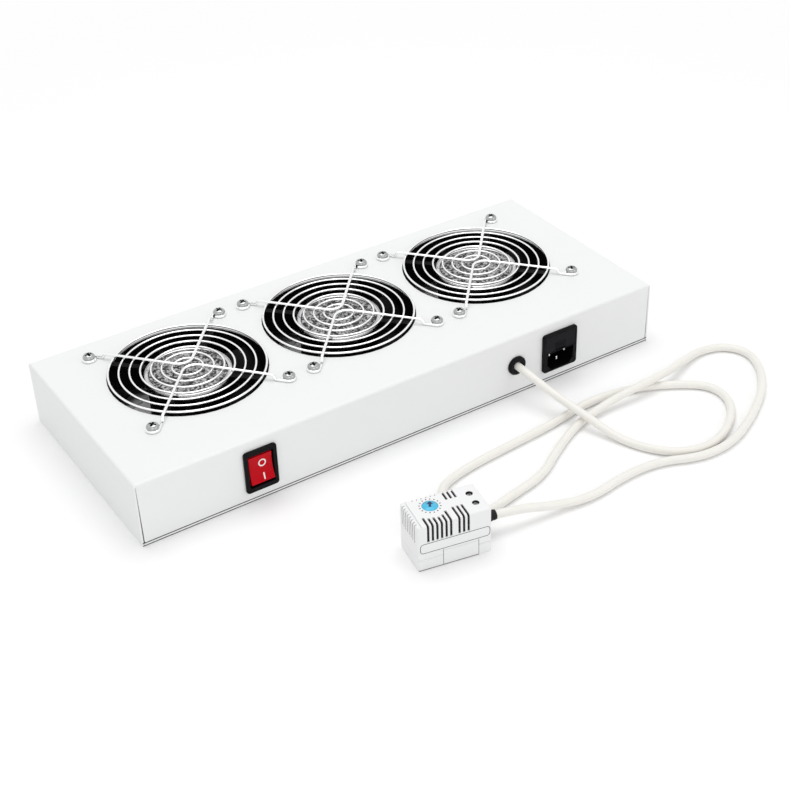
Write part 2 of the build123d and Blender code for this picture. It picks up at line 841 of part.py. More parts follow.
with BuildPart() as terminal_screws:
    with BuildSketch(stat_plane.offset(terminal_block_top)):
        with Locations(*terminal_places):
            RegularPolygon(terminal_screw, small_sides)
    extrude(amount=terminal_screw_height)
write(terminal_screws.part, "terminal_screws")

# Bimetal strip: carried by the terminal block, it reaches under the dial
with BuildPart() as thermostat_bimetal:
    with BuildSketch(stat_plane.offset(bimetal_z)):
        with Locations((terminal_u - terminal_block_length / 2 - bimetal_length / 2, dial_v)):
            Rectangle(bimetal_length, bimetal_width)
    extrude(amount=bimetal_sheet)
write(thermostat_bimetal.part, "thermostat_bimetal")

# Cord gland at the housing's right end
with BuildPart() as thermostat_gland:
    with BuildSketch(end_plane):
        RegularPolygon(gland_radius, gland_sides)
    with BuildSketch(end_plane.offset(gland_length)):
        RegularPolygon(gland_end_radius, gland_sides)
    loft(ruled=True)
    with BuildSketch(end_plane):
        RegularPolygon(cord_radius + cord_gap, cord_hole_sides, major_radius=False)
    extrude(amount=gland_length, mode=Mode.SUBTRACT)
write(thermostat_gland.part, "thermostat_gland")

# Control cord: straight runs joined by arcs, drawn with flats round it
runs = [Vector(*b) - Vector(*a) for a, b in zip(cord_route, cord_route[1:])]
cord_radii = [
    cord_bend_share * min(a.length, b.length) / tan(radians(a.get_angle(b) / 2))
    for a, b in zip(runs, runs[1:])
]

with BuildPart() as control_cord:
    with BuildLine() as route:
        FilletPolyline(*cord_route, radius=cord_radii)
    with BuildSketch(Plane(origin=route.line @ 0, z_dir=route.line % 0)) as section:
        RegularPolygon(cord_radius, cord_sides)
    sweep(path=route.line)
write(control_cord.part, "control_cord")

print("cord bend radii", [round(radius, 1) for radius in cord_radii])
route_length = sum(edge.length for edge in route.line.edges())
print("cord volume", control_cord.part.volume, "of", section.sketch.area * route_length)
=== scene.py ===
from math import asin, atan2, cos, hypot, pi, radians, sin, sqrt

import bmesh
import bpy
from mathutils import Matrix, Vector


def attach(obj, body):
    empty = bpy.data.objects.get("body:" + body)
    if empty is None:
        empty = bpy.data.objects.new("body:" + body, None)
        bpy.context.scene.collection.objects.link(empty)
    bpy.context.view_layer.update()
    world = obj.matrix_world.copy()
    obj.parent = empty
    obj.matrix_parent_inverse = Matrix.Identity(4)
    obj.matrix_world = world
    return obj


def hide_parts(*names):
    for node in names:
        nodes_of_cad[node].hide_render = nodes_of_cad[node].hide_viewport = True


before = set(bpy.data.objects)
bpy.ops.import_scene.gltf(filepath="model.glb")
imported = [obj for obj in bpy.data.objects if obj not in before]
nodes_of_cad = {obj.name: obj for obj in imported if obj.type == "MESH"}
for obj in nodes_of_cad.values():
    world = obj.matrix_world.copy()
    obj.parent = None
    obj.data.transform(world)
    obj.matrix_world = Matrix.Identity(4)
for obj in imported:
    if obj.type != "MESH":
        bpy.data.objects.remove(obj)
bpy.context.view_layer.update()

# Lengths below are in millimetres in the part's own frame, and MM turns them into metres.
MM = 0.001
scene = bpy.context.scene

# Camera, at the photograph's place; its clipping distances are in metres
PHOTO_WIDTH = 789
FOCAL_PIXELS = 1538.06
SENSOR = 36.0
CLIP_START = 0.01
CLIP_END = 50.0
camera_place = Vector((-481.10, -837.25, 647.27)) * MM
camera_azimuth = -31.794
camera_elevation = 34.494
camera_roll = -2.193

camera_data = bpy.data.cameras.new("camera")
camera_data.sensor_width = SENSOR
camera_data.lens = FOCAL_PIXELS / PHOTO_WIDTH * SENSOR
camera_data.clip_start = CLIP_START
camera_data.clip_end = CLIP_END
camera = bpy.data.objects.new("camera", camera_data)
scene.collection.objects.link(camera)
turn = Matrix.Rotation(radians(camera_azimuth), 4, "Z")
tilt = Matrix.Rotation(radians(90 - camera_elevation), 4, "X")
roll = Matrix.Rotation(radians(camera_roll), 4, "Z")
camera.matrix_world = Matrix.Translation(camera_place) @ turn @ tilt @ roll
scene.camera = camera
scene.view_settings.view_transform = "Standard"


# Materials: one principled shader each, with fine bump, mottling and a varied roughness
BLOTCH_DETAIL = 4
GRAIN_DETAIL = 3
LEAST_ROUGHNESS = 0.02


def material(name, color, roughness, metallic=0.0, mottle=0.04, mottle_size=6.0, grain=0.5,
             grain_height=0.01, vary=0.06, **sockets):
    made = bpy.data.materials.new(name)
    made.use_nodes = True
    tree = made.node_tree
    shader = tree.nodes["Principled BSDF"]
    shader.inputs["Metallic"].default_value = metallic
    for socket, value in sockets.items():
        shader.inputs[socket.replace("_", " ")].default_value = value
    place = tree.nodes.new("ShaderNodeTexCoord")
    blotch = tree.nodes.new("ShaderNodeTexNoise")
    blotch.inputs["Scale"].default_value = 1 / (mottle_size * MM)
    blotch.inputs["Detail"].default_value = BLOTCH_DETAIL
    tree.links.new(place.outputs["Object"], blotch.inputs["Vector"])
    tint = tree.nodes.new("ShaderNodeMix")
    tint.data_type = "RGBA"
    tint.inputs["A"].default_value = [max(0, c * (1 - mottle)) for c in color] + [1]
    tint.inputs["B"].default_value = [min(1, c * (1 + mottle)) for c in color] + [1]
    tree.links.new(blotch.outputs["Fac"], tint.inputs["Factor"])
    tree.links.new(tint.outputs["Result"], shader.inputs["Base Color"])
    spread = tree.nodes.new("ShaderNodeMapRange")
    spread.inputs["To Min"].default_value = max(LEAST_ROUGHNESS, roughness - vary)
    spread.inputs["To Max"].default_value = min(1, roughness + vary)
    tree.links.new(blotch.outputs["Fac"], spread.inputs["Value"])
    tree.links.new(spread.outputs["Result"], shader.inputs["Roughness"])
    fine = tree.nodes.new("ShaderNodeTexNoise")
    fine.inputs["Scale"].default_value = 1 / (grain * MM)
    fine.inputs["Detail"].default_value = GRAIN_DETAIL
    tree.links.new(place.outputs["Object"], fine.inputs["Vector"])
    bump = tree.nodes.new("ShaderNodeBump")
    bump.inputs["Strength"].default_value = 1
    bump.inputs["Distance"].default_value = grain_height * MM
    tree.links.new(fine.outputs["Fac"], bump.inputs["Height"])
    tree.links.new(bump.outputs["Normal"], shader.inputs["Normal"])
    return made


white_paint = material("white_paint", (0.83, 0.84, 0.84), 0.42, mottle=0.008, mottle_size=30,
                       grain=0.7, grain_height=0.012, vary=0.04)
chrome = material("chrome_plate", (0.93, 0.935, 0.94), 0.09, metallic=1, mottle=0.05,
                  mottle_size=3, grain=0.8, grain_height=0.006, vary=0.04)
screw_plate = material("screw_plate", (0.42, 0.425, 0.425), 0.16, metallic=1, mottle=0.08,
                       mottle_size=1.5, grain=0.3, grain_height=0.006)
# Painted shade: near black for the screws' cross recesses, where shade falls
painted_recess_shade = material("painted_recess_shade", (0.008, 0.008, 0.009), 0.6, mottle=0.15, mottle_size=1,
                       Specular_IOR_Level=0.1)
# Black of the fan frames and rotors, also used for the strips of painted shade along the tray's base
fan_black = material("fan_black", (0.003, 0.003, 0.0035), 0.45, mottle=0.2, grain=0.4,
                     grain_height=0.015, Specular_IOR_Level=0.06)
gloss_black = material("gloss_black", (0.003, 0.003, 0.0038), 0.3, mottle=0.15, grain=0.5,
                       grain_height=0.006, Specular_IOR_Level=0.09)
satin_black = material("satin_black", (0.006, 0.005, 0.0072), 0.38, mottle=0.2, grain=0.3,
                       grain_height=0.015, Specular_IOR_Level=0.1)
rocker_red = material("rocker_red", (0.5, 0.0008, 0.008), 0.24, mottle=0.05, grain=0.8,
                      grain_height=0.004, Specular_IOR_Level=0.1)
mark_white = material("mark_white", (0.85, 0.84, 0.82), 0.5, mottle=0.03, grain=0.15)
pin_metal = material("pin_metal", (0.74, 0.74, 0.72), 0.22, metallic=1, mottle=0.1,
                     mottle_size=2, grain=0.3)
brass = material("brass", (0.72, 0.52, 0.22), 0.28, metallic=1, mottle=0.1, mottle_size=2)
zinc = material("zinc", (0.6, 0.6, 0.61), 0.35, metallic=1, mottle=0.12, mottle_size=2)
laminations = material("laminations", (0.3, 0.3, 0.31), 0.5, metallic=1, mottle=0.2, grain=0.5)
nylon = material("nylon", (0.78, 0.77, 0.72), 0.45, mottle=0.03)
cord_ivory = material("cord_ivory", (0.84, 0.825, 0.775), 0.36, mottle=0.03, mottle_size=9,
                      grain=0.6, grain_height=0.015, vary=0.08)
pale_plastic = material("pale_plastic", (0.83, 0.835, 0.84), 0.42, mottle=0.012, mottle_size=12,
                        grain=0.35, grain_height=0.012)
dial_blue = material("dial_blue", (0.06, 0.5, 0.76), 0.3, mottle=0.1, mottle_size=2.5, grain=0.4)
dial_navy = material("dial_navy", (0.004, 0.02, 0.09), 0.35, mottle=0.1, grain=0.3)
print_grey = material("print_grey", (0.028, 0.029, 0.033), 0.6, mottle=0.1, grain=0.2)
# Painted shade: dark grey for the thermostat's seams and end slots, and its contact shadow along the foot
shade_grey = material("shade_grey", (0.06, 0.06, 0.062), 0.6, mottle=0.1, grain=0.3)
# Black of the cord's gland, also used for the painted shade behind the thermostat's slots and in its terminal
# holes
gland_black_and_shade = material("gland_black_and_shade", (0.006, 0.006, 0.0065), 0.55, mottle=0.2, grain=0.3,
                       grain_height=0.02, Specular_IOR_Level=0.25)
fuse_glass = material("fuse_glass", (0.95, 0.97, 0.96), 0.05, mottle=0.0, Transmission_Weight=1.0,
                      vary=0.02)


# Foil of the hub labels: metal with coarse flakes that vary in brightness and roughness
FLAKE_SIZE = 1.5
FLAKE_TONES = ((0.05, 0.05, 0.053, 1), (0.55, 0.55, 0.555, 1))
FLAKE_STOPS = (0.38, 0.7)


def foil_material():
    made = material("hub_foil", (0.66, 0.66, 0.67), 0.3, metallic=1, grain=0.9,
                    grain_height=0.09, vary=0.12)
    tree = made.node_tree
    shader = tree.nodes["Principled BSDF"]
    place = tree.nodes.new("ShaderNodeTexCoord")
    flakes = tree.nodes.new("ShaderNodeTexVoronoi")
    flakes.inputs["Scale"].default_value = 1 / (FLAKE_SIZE * MM)
    tree.links.new(place.outputs["Object"], flakes.inputs["Vector"])
    ramp = tree.nodes.new("ShaderNodeValToRGB")
    for stop, tone, position in zip(ramp.color_ramp.elements, FLAKE_TONES, FLAKE_STOPS):
        stop.color = tone
        stop.position = position
    tree.links.new(flakes.outputs["Color"], ramp.inputs["Fac"])
    tree.links.new(ramp.outputs["Color"], shader.inputs["Base Color"])
    return made


hub_foil = foil_material()
hub_silver = material("hub_silver", (0.62, 0.62, 0.63), 0.22, metallic=1, mottle=0.15,
                      mottle_size=3, grain=0.5, grain_height=0.02)


# Helpers for meshes
CIRCLE_STEPS = 48
ROUND_STEPS = 5
CORNER_STEPS = 6
CAP_DOME = 0.6
MERGE_DISTANCE = 0.002
SHARP_ANGLE = 35


def finish_piece(piece, body, finish, smooth=True):
    piece.data.materials.clear()
    piece.data.materials.append(finish)
    if smooth:
        piece.data.shade_smooth()
    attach(piece, body)
    return piece


def to_object(name, mesh_builder, place=Matrix.Identity(4)):
    mesh = bpy.data.meshes.new(name)
    bmesh.ops.recalc_face_normals(mesh_builder, faces=mesh_builder.faces)
    mesh_builder.to_mesh(mesh)
    mesh_builder.free()
    mesh.transform(Matrix.Scale(MM, 4) @ place)
    made = bpy.data.objects.new(name, mesh)
    scene.collection.objects.link(made)
    return made


def stack(rings, place=Matrix.Identity(4)):
    """A closed solid through (outline, height) rings with equal numbers of points."""
    builder = bmesh.new()
    made = [[builder.verts.new((x, y, height)) for x, y in outline] for outline, height in rings]
    builder.faces.new(made[0][::-1])
    builder.faces.new(made[-1])
    count = len(made[0])
    for one, other in zip(made, made[1:]):
        for i in range(count):
            j = (i + 1) % count
            builder.faces.new((one[i], one[j], other[j], other[i]))
    return to_object("solid", builder, place)


def prism(outline, low, high, place=Matrix.Identity(4)):
    return stack([(outline, low), (outline, high)], place)


def soft_box(centre_x, centre_y, width, height, corner, low, high, edge, place=Matrix.Identity(4)):
    """A box with round corners, whose far edge along the third axis is rounded too."""
    rings = [(rectangle(centre_x, centre_y, width, height, corner), low)]
    for i in range(ROUND_STEPS + 1):
        angle = pi / 2 * i / ROUND_STEPS
        inset = edge * (1 - cos(angle))
        outline = rectangle(centre_x, centre_y, width - 2 * inset, height - 2 * inset, corner - inset)
        rings.append((outline, high - edge + edge * sin(angle)))
    return stack(rings, place)


def rectangle(centre_x, centre_y, width, height, radius=0.0):
    corners = [(1, 1, 0), (-1, 1, 90), (-1, -1, 180), (1, -1, 270)]
    points = []
    for side_x, side_y, start in corners:
        x = centre_x + side_x * (width / 2 - radius)
        y = centre_y + side_y * (height / 2 - radius)
        if radius == 0:
            points.append((x, y))
            continue
        for i in range(CORNER_STEPS + 1):
            angle = radians(start + 90 * i / CORNER_STEPS)
            points.append((x + radius * cos(angle), y + radius * sin(angle)))
    return points


def circle(centre_x, centre_y, radius, steps=CIRCLE_STEPS):
    turns = [2 * pi * i / steps for i in range(steps)]
    return [(centre_x + radius * cos(a), centre_y + radius * sin(a)) for a in turns]


def lathe(name, profile, place=Matrix.Identity(4), steps=CIRCLE_STEPS):
    """A profile of (radius, height) points turned about the third axis."""
    builder = bmesh.new()
    rings = []
    for radius, height in profile:
        if radius == 0:
            rings.append([builder.verts.new((0, 0, height))])
            continue
        rings.append([builder.verts.new((x, y, height)) for x, y in circle(0, 0, radius, steps)])
    for one, other in zip(rings, rings[1:]):
        for i in range(steps):
            j = (i + 1) % steps
            near = [one[i % len(one)], one[j % len(one)]]
            far = [other[j % len(other)], other[i % len(other)]]
            unique = list(dict.fromkeys(near + far))
            if len(unique) > 2:
                builder.faces.new(unique)
    return to_object(name, builder, place)


def tube(name, points, radius, sides=12, closed=False):
    """A round wire along points, with domed ends unless it is closed."""
    path = [Vector(p) for p in points]
    turns = [2 * pi * k / sides for k in range(sides)]
    count = len(path)
    builder = bmesh.new()
    rings = []
    side = None
    for i, point in enumerate(path):
        before = path[(i - 1) % count] if closed or i > 0 else point
        after = path[(i + 1) % count] if closed or i < count - 1 else point
        along = (after - before).normalized()
        if side is None:
            side = along.orthogonal().normalized()
        side = (side - along * side.dot(along)).normalized()
        other = along.cross(side)
        around = [point + radius * (cos(a) * side + sin(a) * other) for a in turns]
        rings.append([builder.verts.new(place) for place in around])
    pairs = list(zip(rings, rings[1:]))
    if closed:
        pairs.append((rings[-1], rings[0]))
    for one, two in pairs:
        for k in range(sides):
            m = (k + 1) % sides
            builder.faces.new((one[k], one[m], two[m], two[k]))
    if not closed:
        for ring, end, inner in ((rings[0], path[0], path[1]), (rings[-1], path[-1], path[-2])):
            tip = builder.verts.new(end + (end - inner).normalized() * radius * CAP_DOME)
            for k in range(sides):
                builder.faces.new((ring[k], ring[(k + 1) % sides], tip))
    return to_object(name, builder)


def joined(name, parts):
    """One object from several, with their modifiers applied."""
    bpy.context.view_layer.update()
    builder = bmesh.new()
    graph = bpy.context.evaluated_depsgraph_get()
    for part in parts:
        mesh = bpy.data.meshes.new_from_object(part.evaluated_get(graph))
        builder.from_mesh(mesh)
    for part in parts:
        bpy.data.objects.remove(part)
    mesh = bpy.data.meshes.new(name)
    builder.to_mesh(mesh)
    builder.free()
    made = bpy.data.objects.new(name, mesh)
    scene.collection.objects.link(made)
    return made


def carved(name, solids, cutters, edge, segments=3):
    """The union of solids less the cutters, with its sharp edges rounded."""
    bpy.context.view_layer.update()
    base = solids[0]
    for operation, others in (("UNION", solids[1:]), ("DIFFERENCE", cutters)):
        for other in others:
            step = base.modifiers.new("cut", "BOOLEAN")
            step.operation = operation
            step.solver = "EXACT"
            step.object = other
    bpy.context.view_layer.update()
    graph = bpy.context.evaluated_depsgraph_get()
    mesh = bpy.data.meshes.new_from_object(base.evaluated_get(graph))
    for used in [*solids, *cutters]:
        bpy.data.objects.remove(used)
    mesh.name = name
    made = bpy.data.objects.new(name, mesh)
    scene.collection.objects.link(made)
    merge = made.modifiers.new("merge", "WELD")
    merge.merge_threshold = MERGE_DISTANCE * MM
    if edge:
        soften = made.modifiers.new("soften", "BEVEL")
        soften.width = edge * MM
        soften.segments = segments
        soften.limit_method = "ANGLE"
        soften.angle_limit = radians(SHARP_ANGLE)
        soften.use_clamp_overlap = True
    even = made.modifiers.new("even", "WEIGHTED_NORMAL")
    even.keep_sharp = True
    return made


# Control cord: the same route as in the CAD, as one smooth curve
CORD_DIAMETER = 6.0
cord_route = [
    (89, -76, 25.4),
    (89, -101, 25.4),
    (97, -125, 15.5),
    (103, -150, 11),
    (111, -178, 3.1),
    (121, -201, 3.1),
    (138, -218, 3.1),
    (162, -222, 3.1),
    (187, -211, 3.1),
    (207, -191, 3.1),
    (210, -168, 3.1),
    (191, -151, 3.1),
    (158, -135, 3.1),
    (122, -130.5, 3.1),
    (82, -138, 3.1),
    (42, -141, 3.1),
    (4, -144.5, 3.1),
    (-22, -151.5, 3.1),
    (-31, -167, 3.1),
    (-26.5, -184, 3.1),
    (-11, -192.5, 3.1),
    (12, -187, 3.1),
    (42, -181.5, 3.1),
    (68, -164, 3.1),
    (98, -148, 3.1),
    (130, -143, 6),
    (159, -144, 9.8),
    (189, -142, 9.8),
    (212, -133, 5.5),
    (233, -127, 3.1),
    (253, -132, 3.1),
    (263, -149, 3.1),
    (256, -170, 3.1),
    (236, -193, 3.1),
    (206, -213, 3.1),
    (174, -228, 3.1),
    (144, -228.5, 3.1),
    (117, -215, 3.1),
    (86, -214, 3.1),
    (56, -219.5, 3.1),
    (28, -215, 5),
    (-2.96, -210.25, 14),
    (-32.82, -204.51, 14),
]
line = bpy.data.curves.new("control_cord_line", "CURVE")
line.dimensions = "3D"
spline = line.splines.new("NURBS")
spline.points.add(len(cord_route) - 1)
for point, place in zip(spline.points, cord_route):
    point.co = (*(Vector(place) * MM), 1)
spline.order_u = 3
spline.use_endpoint_u = True
spline.resolution_u = 10
line.bevel_depth = CORD_DIAMETER / 2 * MM
line.bevel_resolution = 5
line.use_fill_caps = True
cord = bpy.data.objects.new("control_cord_line", line)
scene.collection.objects.link(cord)
line.materials.append(cord_ivory)
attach(cord, "tray")
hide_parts("control_cord")

# Finishes of the CAD nodes that stay in sight
FAN_SIDES = ("left", "middle", "right")
kept = {
    "top_cover": white_paint,
    "base_plate": white_paint,
    "base_screws": zinc,
    "switch_tabs": brass,
    "terminal_block": nylon,
    "earth_stud": zinc,
    "earth_nut": zinc,
    "thermostat_terminals": nylon,
    "thermostat_bimetal": brass,
}
for side in FAN_SIDES:
    kept[f"fan_frame_{side}"] = fan_black
    kept[f"stator_{side}"] = laminations
    kept[f"rotor_{side}"] = fan_black
for name, finish in kept.items():
    mesh = nodes_of_cad[name].data
    mesh.materials.clear()
    mesh.materials.append(finish)

# Painted shade in front and behind: a dark strip in the shadow gap over the base plate, and a painted contact
# shadow under its edge
TRAY_LENGTH = 430.0
TRAY_HALF_DEPTH = 88.0
SHADE_LINE_PROUD = 0.04
SHADE_LINE_DEPTH = 0.6
SHADE_LINE_END_GAP = 0.4
SHADE_LINE_HEIGHTS = ((0.0, 0.6), (2.0, 2.7))
shade_strips = []
for facing in (-1, 1):
    middle = facing * (TRAY_HALF_DEPTH + SHADE_LINE_PROUD - SHADE_LINE_DEPTH / 2)
    outline = rectangle(0, middle, TRAY_LENGTH - 2 * SHADE_LINE_END_GAP, SHADE_LINE_DEPTH)
    for low, high in SHADE_LINE_HEIGHTS:
        shade_strips.append(prism(outline, low, high))
shade_lines = joined("base_painted_shade_lines", shade_strips)
finish_piece(shade_lines, "tray", fan_black, smooth=False)

# Wire guards: chromed rings under two bent wires, each ending in a loop round its screw
TRAY_TOP = 50.0
FAN_Y = 13.0
FAN_PITCH = 125.0
SCREW_HALF = 52.5
RING_WIRE = 1.6
ARM_WIRE = 2.2
ARM_RISE = 3.3
RING_BITE = 0.15
LOOP_Z = TRAY_TOP + ARM_WIRE / 2
ARM_Z = LOOP_Z + ARM_RISE
RING_Z = ARM_Z - ARM_WIRE / 2 - RING_WIRE / 2 + RING_BITE
RING_COUNT = 7
FIRST_RING = 11
RING_PITCH = 7.5
RING_STEPS = 48
MORE_STEPS = 12
RING_SIDES = 10
ARM_SIDES = 12
LOOP_RADIUS = 4.2
ARM_CORNER = -2.3
RAMP_START = 8.5
RAMP_LENGTH = 3.2
BEND_RADIUS = 9.0
LOOP_END = 135
LOOP_TURN = 292
LOOP_STEPS = 26
RAMP_STEPS = 8
BEND_STEPS = 8


def arm_path(opens):
    """Centre line of one bent wire, from loop to loop, about the fan's own centre."""
    beside = LOOP_RADIUS / sqrt(2)
    touch = Vector((SCREW_HALF - beside, SCREW_HALF + beside, LOOP_Z))
    corner = Vector((0, ARM_CORNER, LOOP_Z))
    lean = atan2(touch.x, touch.y - ARM_CORNER)
    centre = ARM_CORNER + BEND_RADIUS / sin(lean)
    along = (corner - touch).normalized()
    up = Vector((0, 0, ARM_Z - LOOP_Z))
    half = []
    # The loop, from its open end to where the wire leaves it
    for i in range(LOOP_STEPS, -1, -1):
        angle = radians(LOOP_END - LOOP_TURN * i / LOOP_STEPS)
        x = SCREW_HALF + LOOP_RADIUS * cos(angle)
        y = SCREW_HALF + LOOP_RADIUS * sin(angle)
        half.append(Vector((x, y, LOOP_Z)))
    # The ramp, which starts and ends level
    for i in range(RAMP_STEPS + 1):
        share = i / RAMP_STEPS
        half.append(touch + along * (RAMP_START + RAMP_LENGTH * share) + up * share**2 * (3 - 2 * share))
    # The bend, up to its tip at the middle of the opening
    for i in range(BEND_STEPS):
        angle = (pi / 2 - lean) * (1 - i / BEND_STEPS)
        half.append(Vector((BEND_RADIUS * sin(angle), centre - BEND_RADIUS * cos(angle), ARM_Z)))
    tip = Vector((0, centre - BEND_RADIUS, ARM_Z))
    whole = half + [tip] + [Vector((-p.x, p.y, p.z)) for p in reversed(half)]
    return [(p.x, opens * p.y, p.z) for p in whole]


for index, side in enumerate(FAN_SIDES):
    centre = ((index - 1) * FAN_PITCH, FAN_Y)
    wires = []
    for ring in range(RING_COUNT):
        around = circle(*centre, FIRST_RING + RING_PITCH * ring, RING_STEPS + MORE_STEPS * ring)
        path = [(x, y, RING_Z) for x, y in around]
        wires.append(tube("ring", path, RING_WIRE / 2, sides=RING_SIDES, closed=True))
    for opens in (-1, 1):
        path = [(centre[0] + x, centre[1] + y, z) for x, y, z in arm_path(opens)]
        wires.append(tube("arm", path, ARM_WIRE / 2, sides=ARM_SIDES))
    guard = joined(f"wire_guard_{side}", wires)
    finish_piece(guard, "tray", chrome)
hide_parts("outlet_guards")


# Pan-head screws with a cross recess; the shares are of the head's height or of the cross's reach
HEAD_RADIUS = 4.5
HEAD_HEIGHT = 3.2
HEAD_ROWS = 22
HEAD_STEPS = 72
ROW_SPREAD = 0.9
CROWN_SHARE = 0.6
RIM_SHARE = 0.25
CROSS_REACH = 2.7
CROSS_WIDTH_SHARE = 0.3
CROSS_SIDE_SHARE = 0.1
CROSS_END_SHARE = 0.2
CROSS_DEPTH_SHARE = 0.6
SUNK_FROM = 0.1
HEAD_TURNS = (37, 61, 23)
SHANK_PROFILE = [(0, 0.1), (1.95, 0.1), (1.95, -9.5), (1.2, -12), (0, -12)]
SHANK_STEPS = 20


def cross_depth(x, y):
    """0 outside the cross, 1 on its floor, and between them on its sloping walls."""
    across = min(abs(x), abs(y))
    along = max(abs(x), abs(y))
    arm = (CROSS_REACH * CROSS_WIDTH_SHARE - across) / (CROSS_SIDE_SHARE * CROSS_REACH)
    reach = (CROSS_REACH - along) / (CROSS_END_SHARE * CROSS_REACH)
    return max(0, min(1, arm)) * max(0, min(1, reach))


def pan_head():
    builder = bmesh.new()
    rings = []
    sunk = set()
    for i in range(HEAD_ROWS + 1):
        r = HEAD_RADIUS * (i / HEAD_ROWS) ** ROW_SPREAD
        share = r / HEAD_RADIUS
        crown = HEAD_HEIGHT * (1 - CROWN_SHARE * share**4) if share < 1 else HEAD_HEIGHT * RIM_SHARE
        ring = []
        for k in range(HEAD_STEPS if i else 1):
            angle = 2 * pi * k / HEAD_STEPS
            x, y = r * cos(angle), r * sin(angle)
            depth = cross_depth(x, y)
            if depth > SUNK_FROM:
                sunk.add((i, k))
            ring.append(builder.verts.new((x, y, crown - HEAD_HEIGHT * CROSS_DEPTH_SHARE * depth)))
        rings.append(ring)
    rings.append([builder.verts.new((x, y, 0)) for x, y in circle(0, 0, HEAD_RADIUS, HEAD_STEPS)])
    for i, (one, other) in enumerate(zip(rings, rings[1:])):
        for k in range(HEAD_STEPS):
            m = (k + 1) % HEAD_STEPS
            corners = [one[k % len(one)], one[m % len(one)], other[m], other[k]]
            face = builder.faces.new(list(dict.fromkeys(corners)))
            # Faces in the cross recess take the second material, the painted shade
            face.material_index = int((i + 1, k) in sunk or (i + 1, m) in sunk)
    builder.faces.new(rings[-1][::-1])
    return to_object("pan_head", builder)


head = pan_head()
heads = []
for index in range(len(FAN_SIDES)):
    for sign_x in (-1, 1):
        for sign_y in (-1, 1):
            screw = head.copy()
            screw.data = head.data.copy()
            scene.collection.objects.link(screw)
            spin = radians(HEAD_TURNS[0] * (index + 1) + HEAD_TURNS[1] * sign_x + HEAD_TURNS[2] * sign_y)
            x = (index - 1) * FAN_PITCH + sign_x * SCREW_HALF
            place = Vector((x, FAN_Y + sign_y * SCREW_HALF, TRAY_TOP + ARM_WIRE)) * MM
            screw.data.transform(Matrix.Translation(place) @ Matrix.Rotation(spin, 4, "Z"))
            heads.append(screw)
            shank = lathe("shank", SHANK_PROFILE, steps=SHANK_STEPS)
            shank.data.transform(Matrix.Translation(place))
            heads.append(shank)
bpy.data.objects.remove(head)
screws = joined("guard_screws", heads)
# finish_piece puts every face in the first material, so the recess faces, which carry the painted shade of
# the cross recess, are kept and set again
slots_of_faces = [face.material_index for face in screws.data.polygons]
finish_piece(screws, "tray", screw_plate)
screws.data.materials.append(painted_recess_shade)
screws.data.polygons.foreach_set("material_index", slots_of_faces)
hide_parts("fan_screws")

# Fan hubs: a low rim round the foil label, over the motor's plate
HUB_TOP = 48.8
HUB_STEPS = 96
FOIL_PROFILE = [(0, 0.12), (12, 0.12), (24, 0.12), (27.6, 0.1), (27.8, 0.02), (27.8, -0.1)]
RIM_PROFILE = [(28.2, -0.2), (28.2, 0.25), (28.5, 0.5), (30.9, 0.6), (31.3, 0.3), (31.4, -4.9)]
for index, side in enumerate(FAN_SIDES):
    place = Matrix.Translation(((index - 1) * FAN_PITCH, FAN_Y, HUB_TOP))
    foil = lathe(f"hub_label_{side}", FOIL_PROFILE, place, HUB_STEPS)
    finish_piece(foil, "tray", hub_foil)
    rim = lathe(f"hub_rim_{side}", RIM_PROFILE, place, HUB_STEPS)
    finish_piece(rim, "tray", hub_silver)

# Front panel: its own frame has X along the front, Y up and Z out of the panel.
# A pair of numbers below is a width and a height, unless it is a place.
PANEL_Z = 25.3
FRONT_Y = -TRAY_HALF_DEPTH
front_place = Matrix(((1, 0, 0, 0), (0, 0, -1, FRONT_Y), (0, 1, 0, 0), (0, 0, 0, 1)))

# Rocker switch
SWITCH_X = -124.5
SWITCH_BEZEL = (25, 33.5)
SWITCH_BEZEL_DEPTH = 2.0
SWITCH_BACK = (21.6, 29.6)
SWITCH_POCKET = (19.1, 25.7)
POCKET_CORNER = 0.6
POCKET_FLOOR = -10.5
POCKET_TOP = 3
BEZEL_CORNER = 2.4
BEZEL_EDGE = 0.6
CASE_BACK = -22
CASE_OVERLAP = 0.5
CASE_EDGE = 0.25
bezel = soft_box(SWITCH_X, PANEL_Z, *SWITCH_BEZEL, BEZEL_CORNER, 0, SWITCH_BEZEL_DEPTH, BEZEL_EDGE,
                 front_place)
back_box = prism(rectangle(SWITCH_X, PANEL_Z, *SWITCH_BACK), CASE_BACK, CASE_OVERLAP, front_place)
pocket_outline = rectangle(SWITCH_X, PANEL_Z, *SWITCH_POCKET, POCKET_CORNER)
pocket = prism(pocket_outline, POCKET_FLOOR, POCKET_TOP, front_place)
switch_case = carved("switch_case", [bezel, back_box], [pocket], CASE_EDGE)
finish_piece(switch_case, "tray", gloss_black)
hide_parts("switch_body")

PIVOT_DEPTH = 3.0
ROCKER_TILT = radians(7)
ROCKER_HALF = 10.3
ROCKER_REACH = 5.2
ROCKER_BACK = 3.0
ROCKER_DISH = 1.5
ROCKER_WIDTH = 17.6
ROCKER_EDGE = 0.45
FACE_STEPS = 24
ARC_STEPS = 8
AXLE_RADIUS = 1.5
AXLE_REACH = 10.4
AXLE_STEPS = 24
pivot_place = Matrix((
    (0, 0, 1, SWITCH_X),
    (sin(ROCKER_TILT), -cos(ROCKER_TILT), 0, FRONT_Y + PIVOT_DEPTH),
    (cos(ROCKER_TILT), sin(ROCKER_TILT), 0, PANEL_Z),
    (0, 0, 0, 1),
))
marks_place = pivot_place @ Matrix(((0, 1, 0, 0), (0, 0, 1, 0), (1, 0, 0, 0), (0, 0, 0, 1)))


def dish(height):
    return ROCKER_REACH - ROCKER_DISH * (1 - (height / ROCKER_HALF) ** 2)


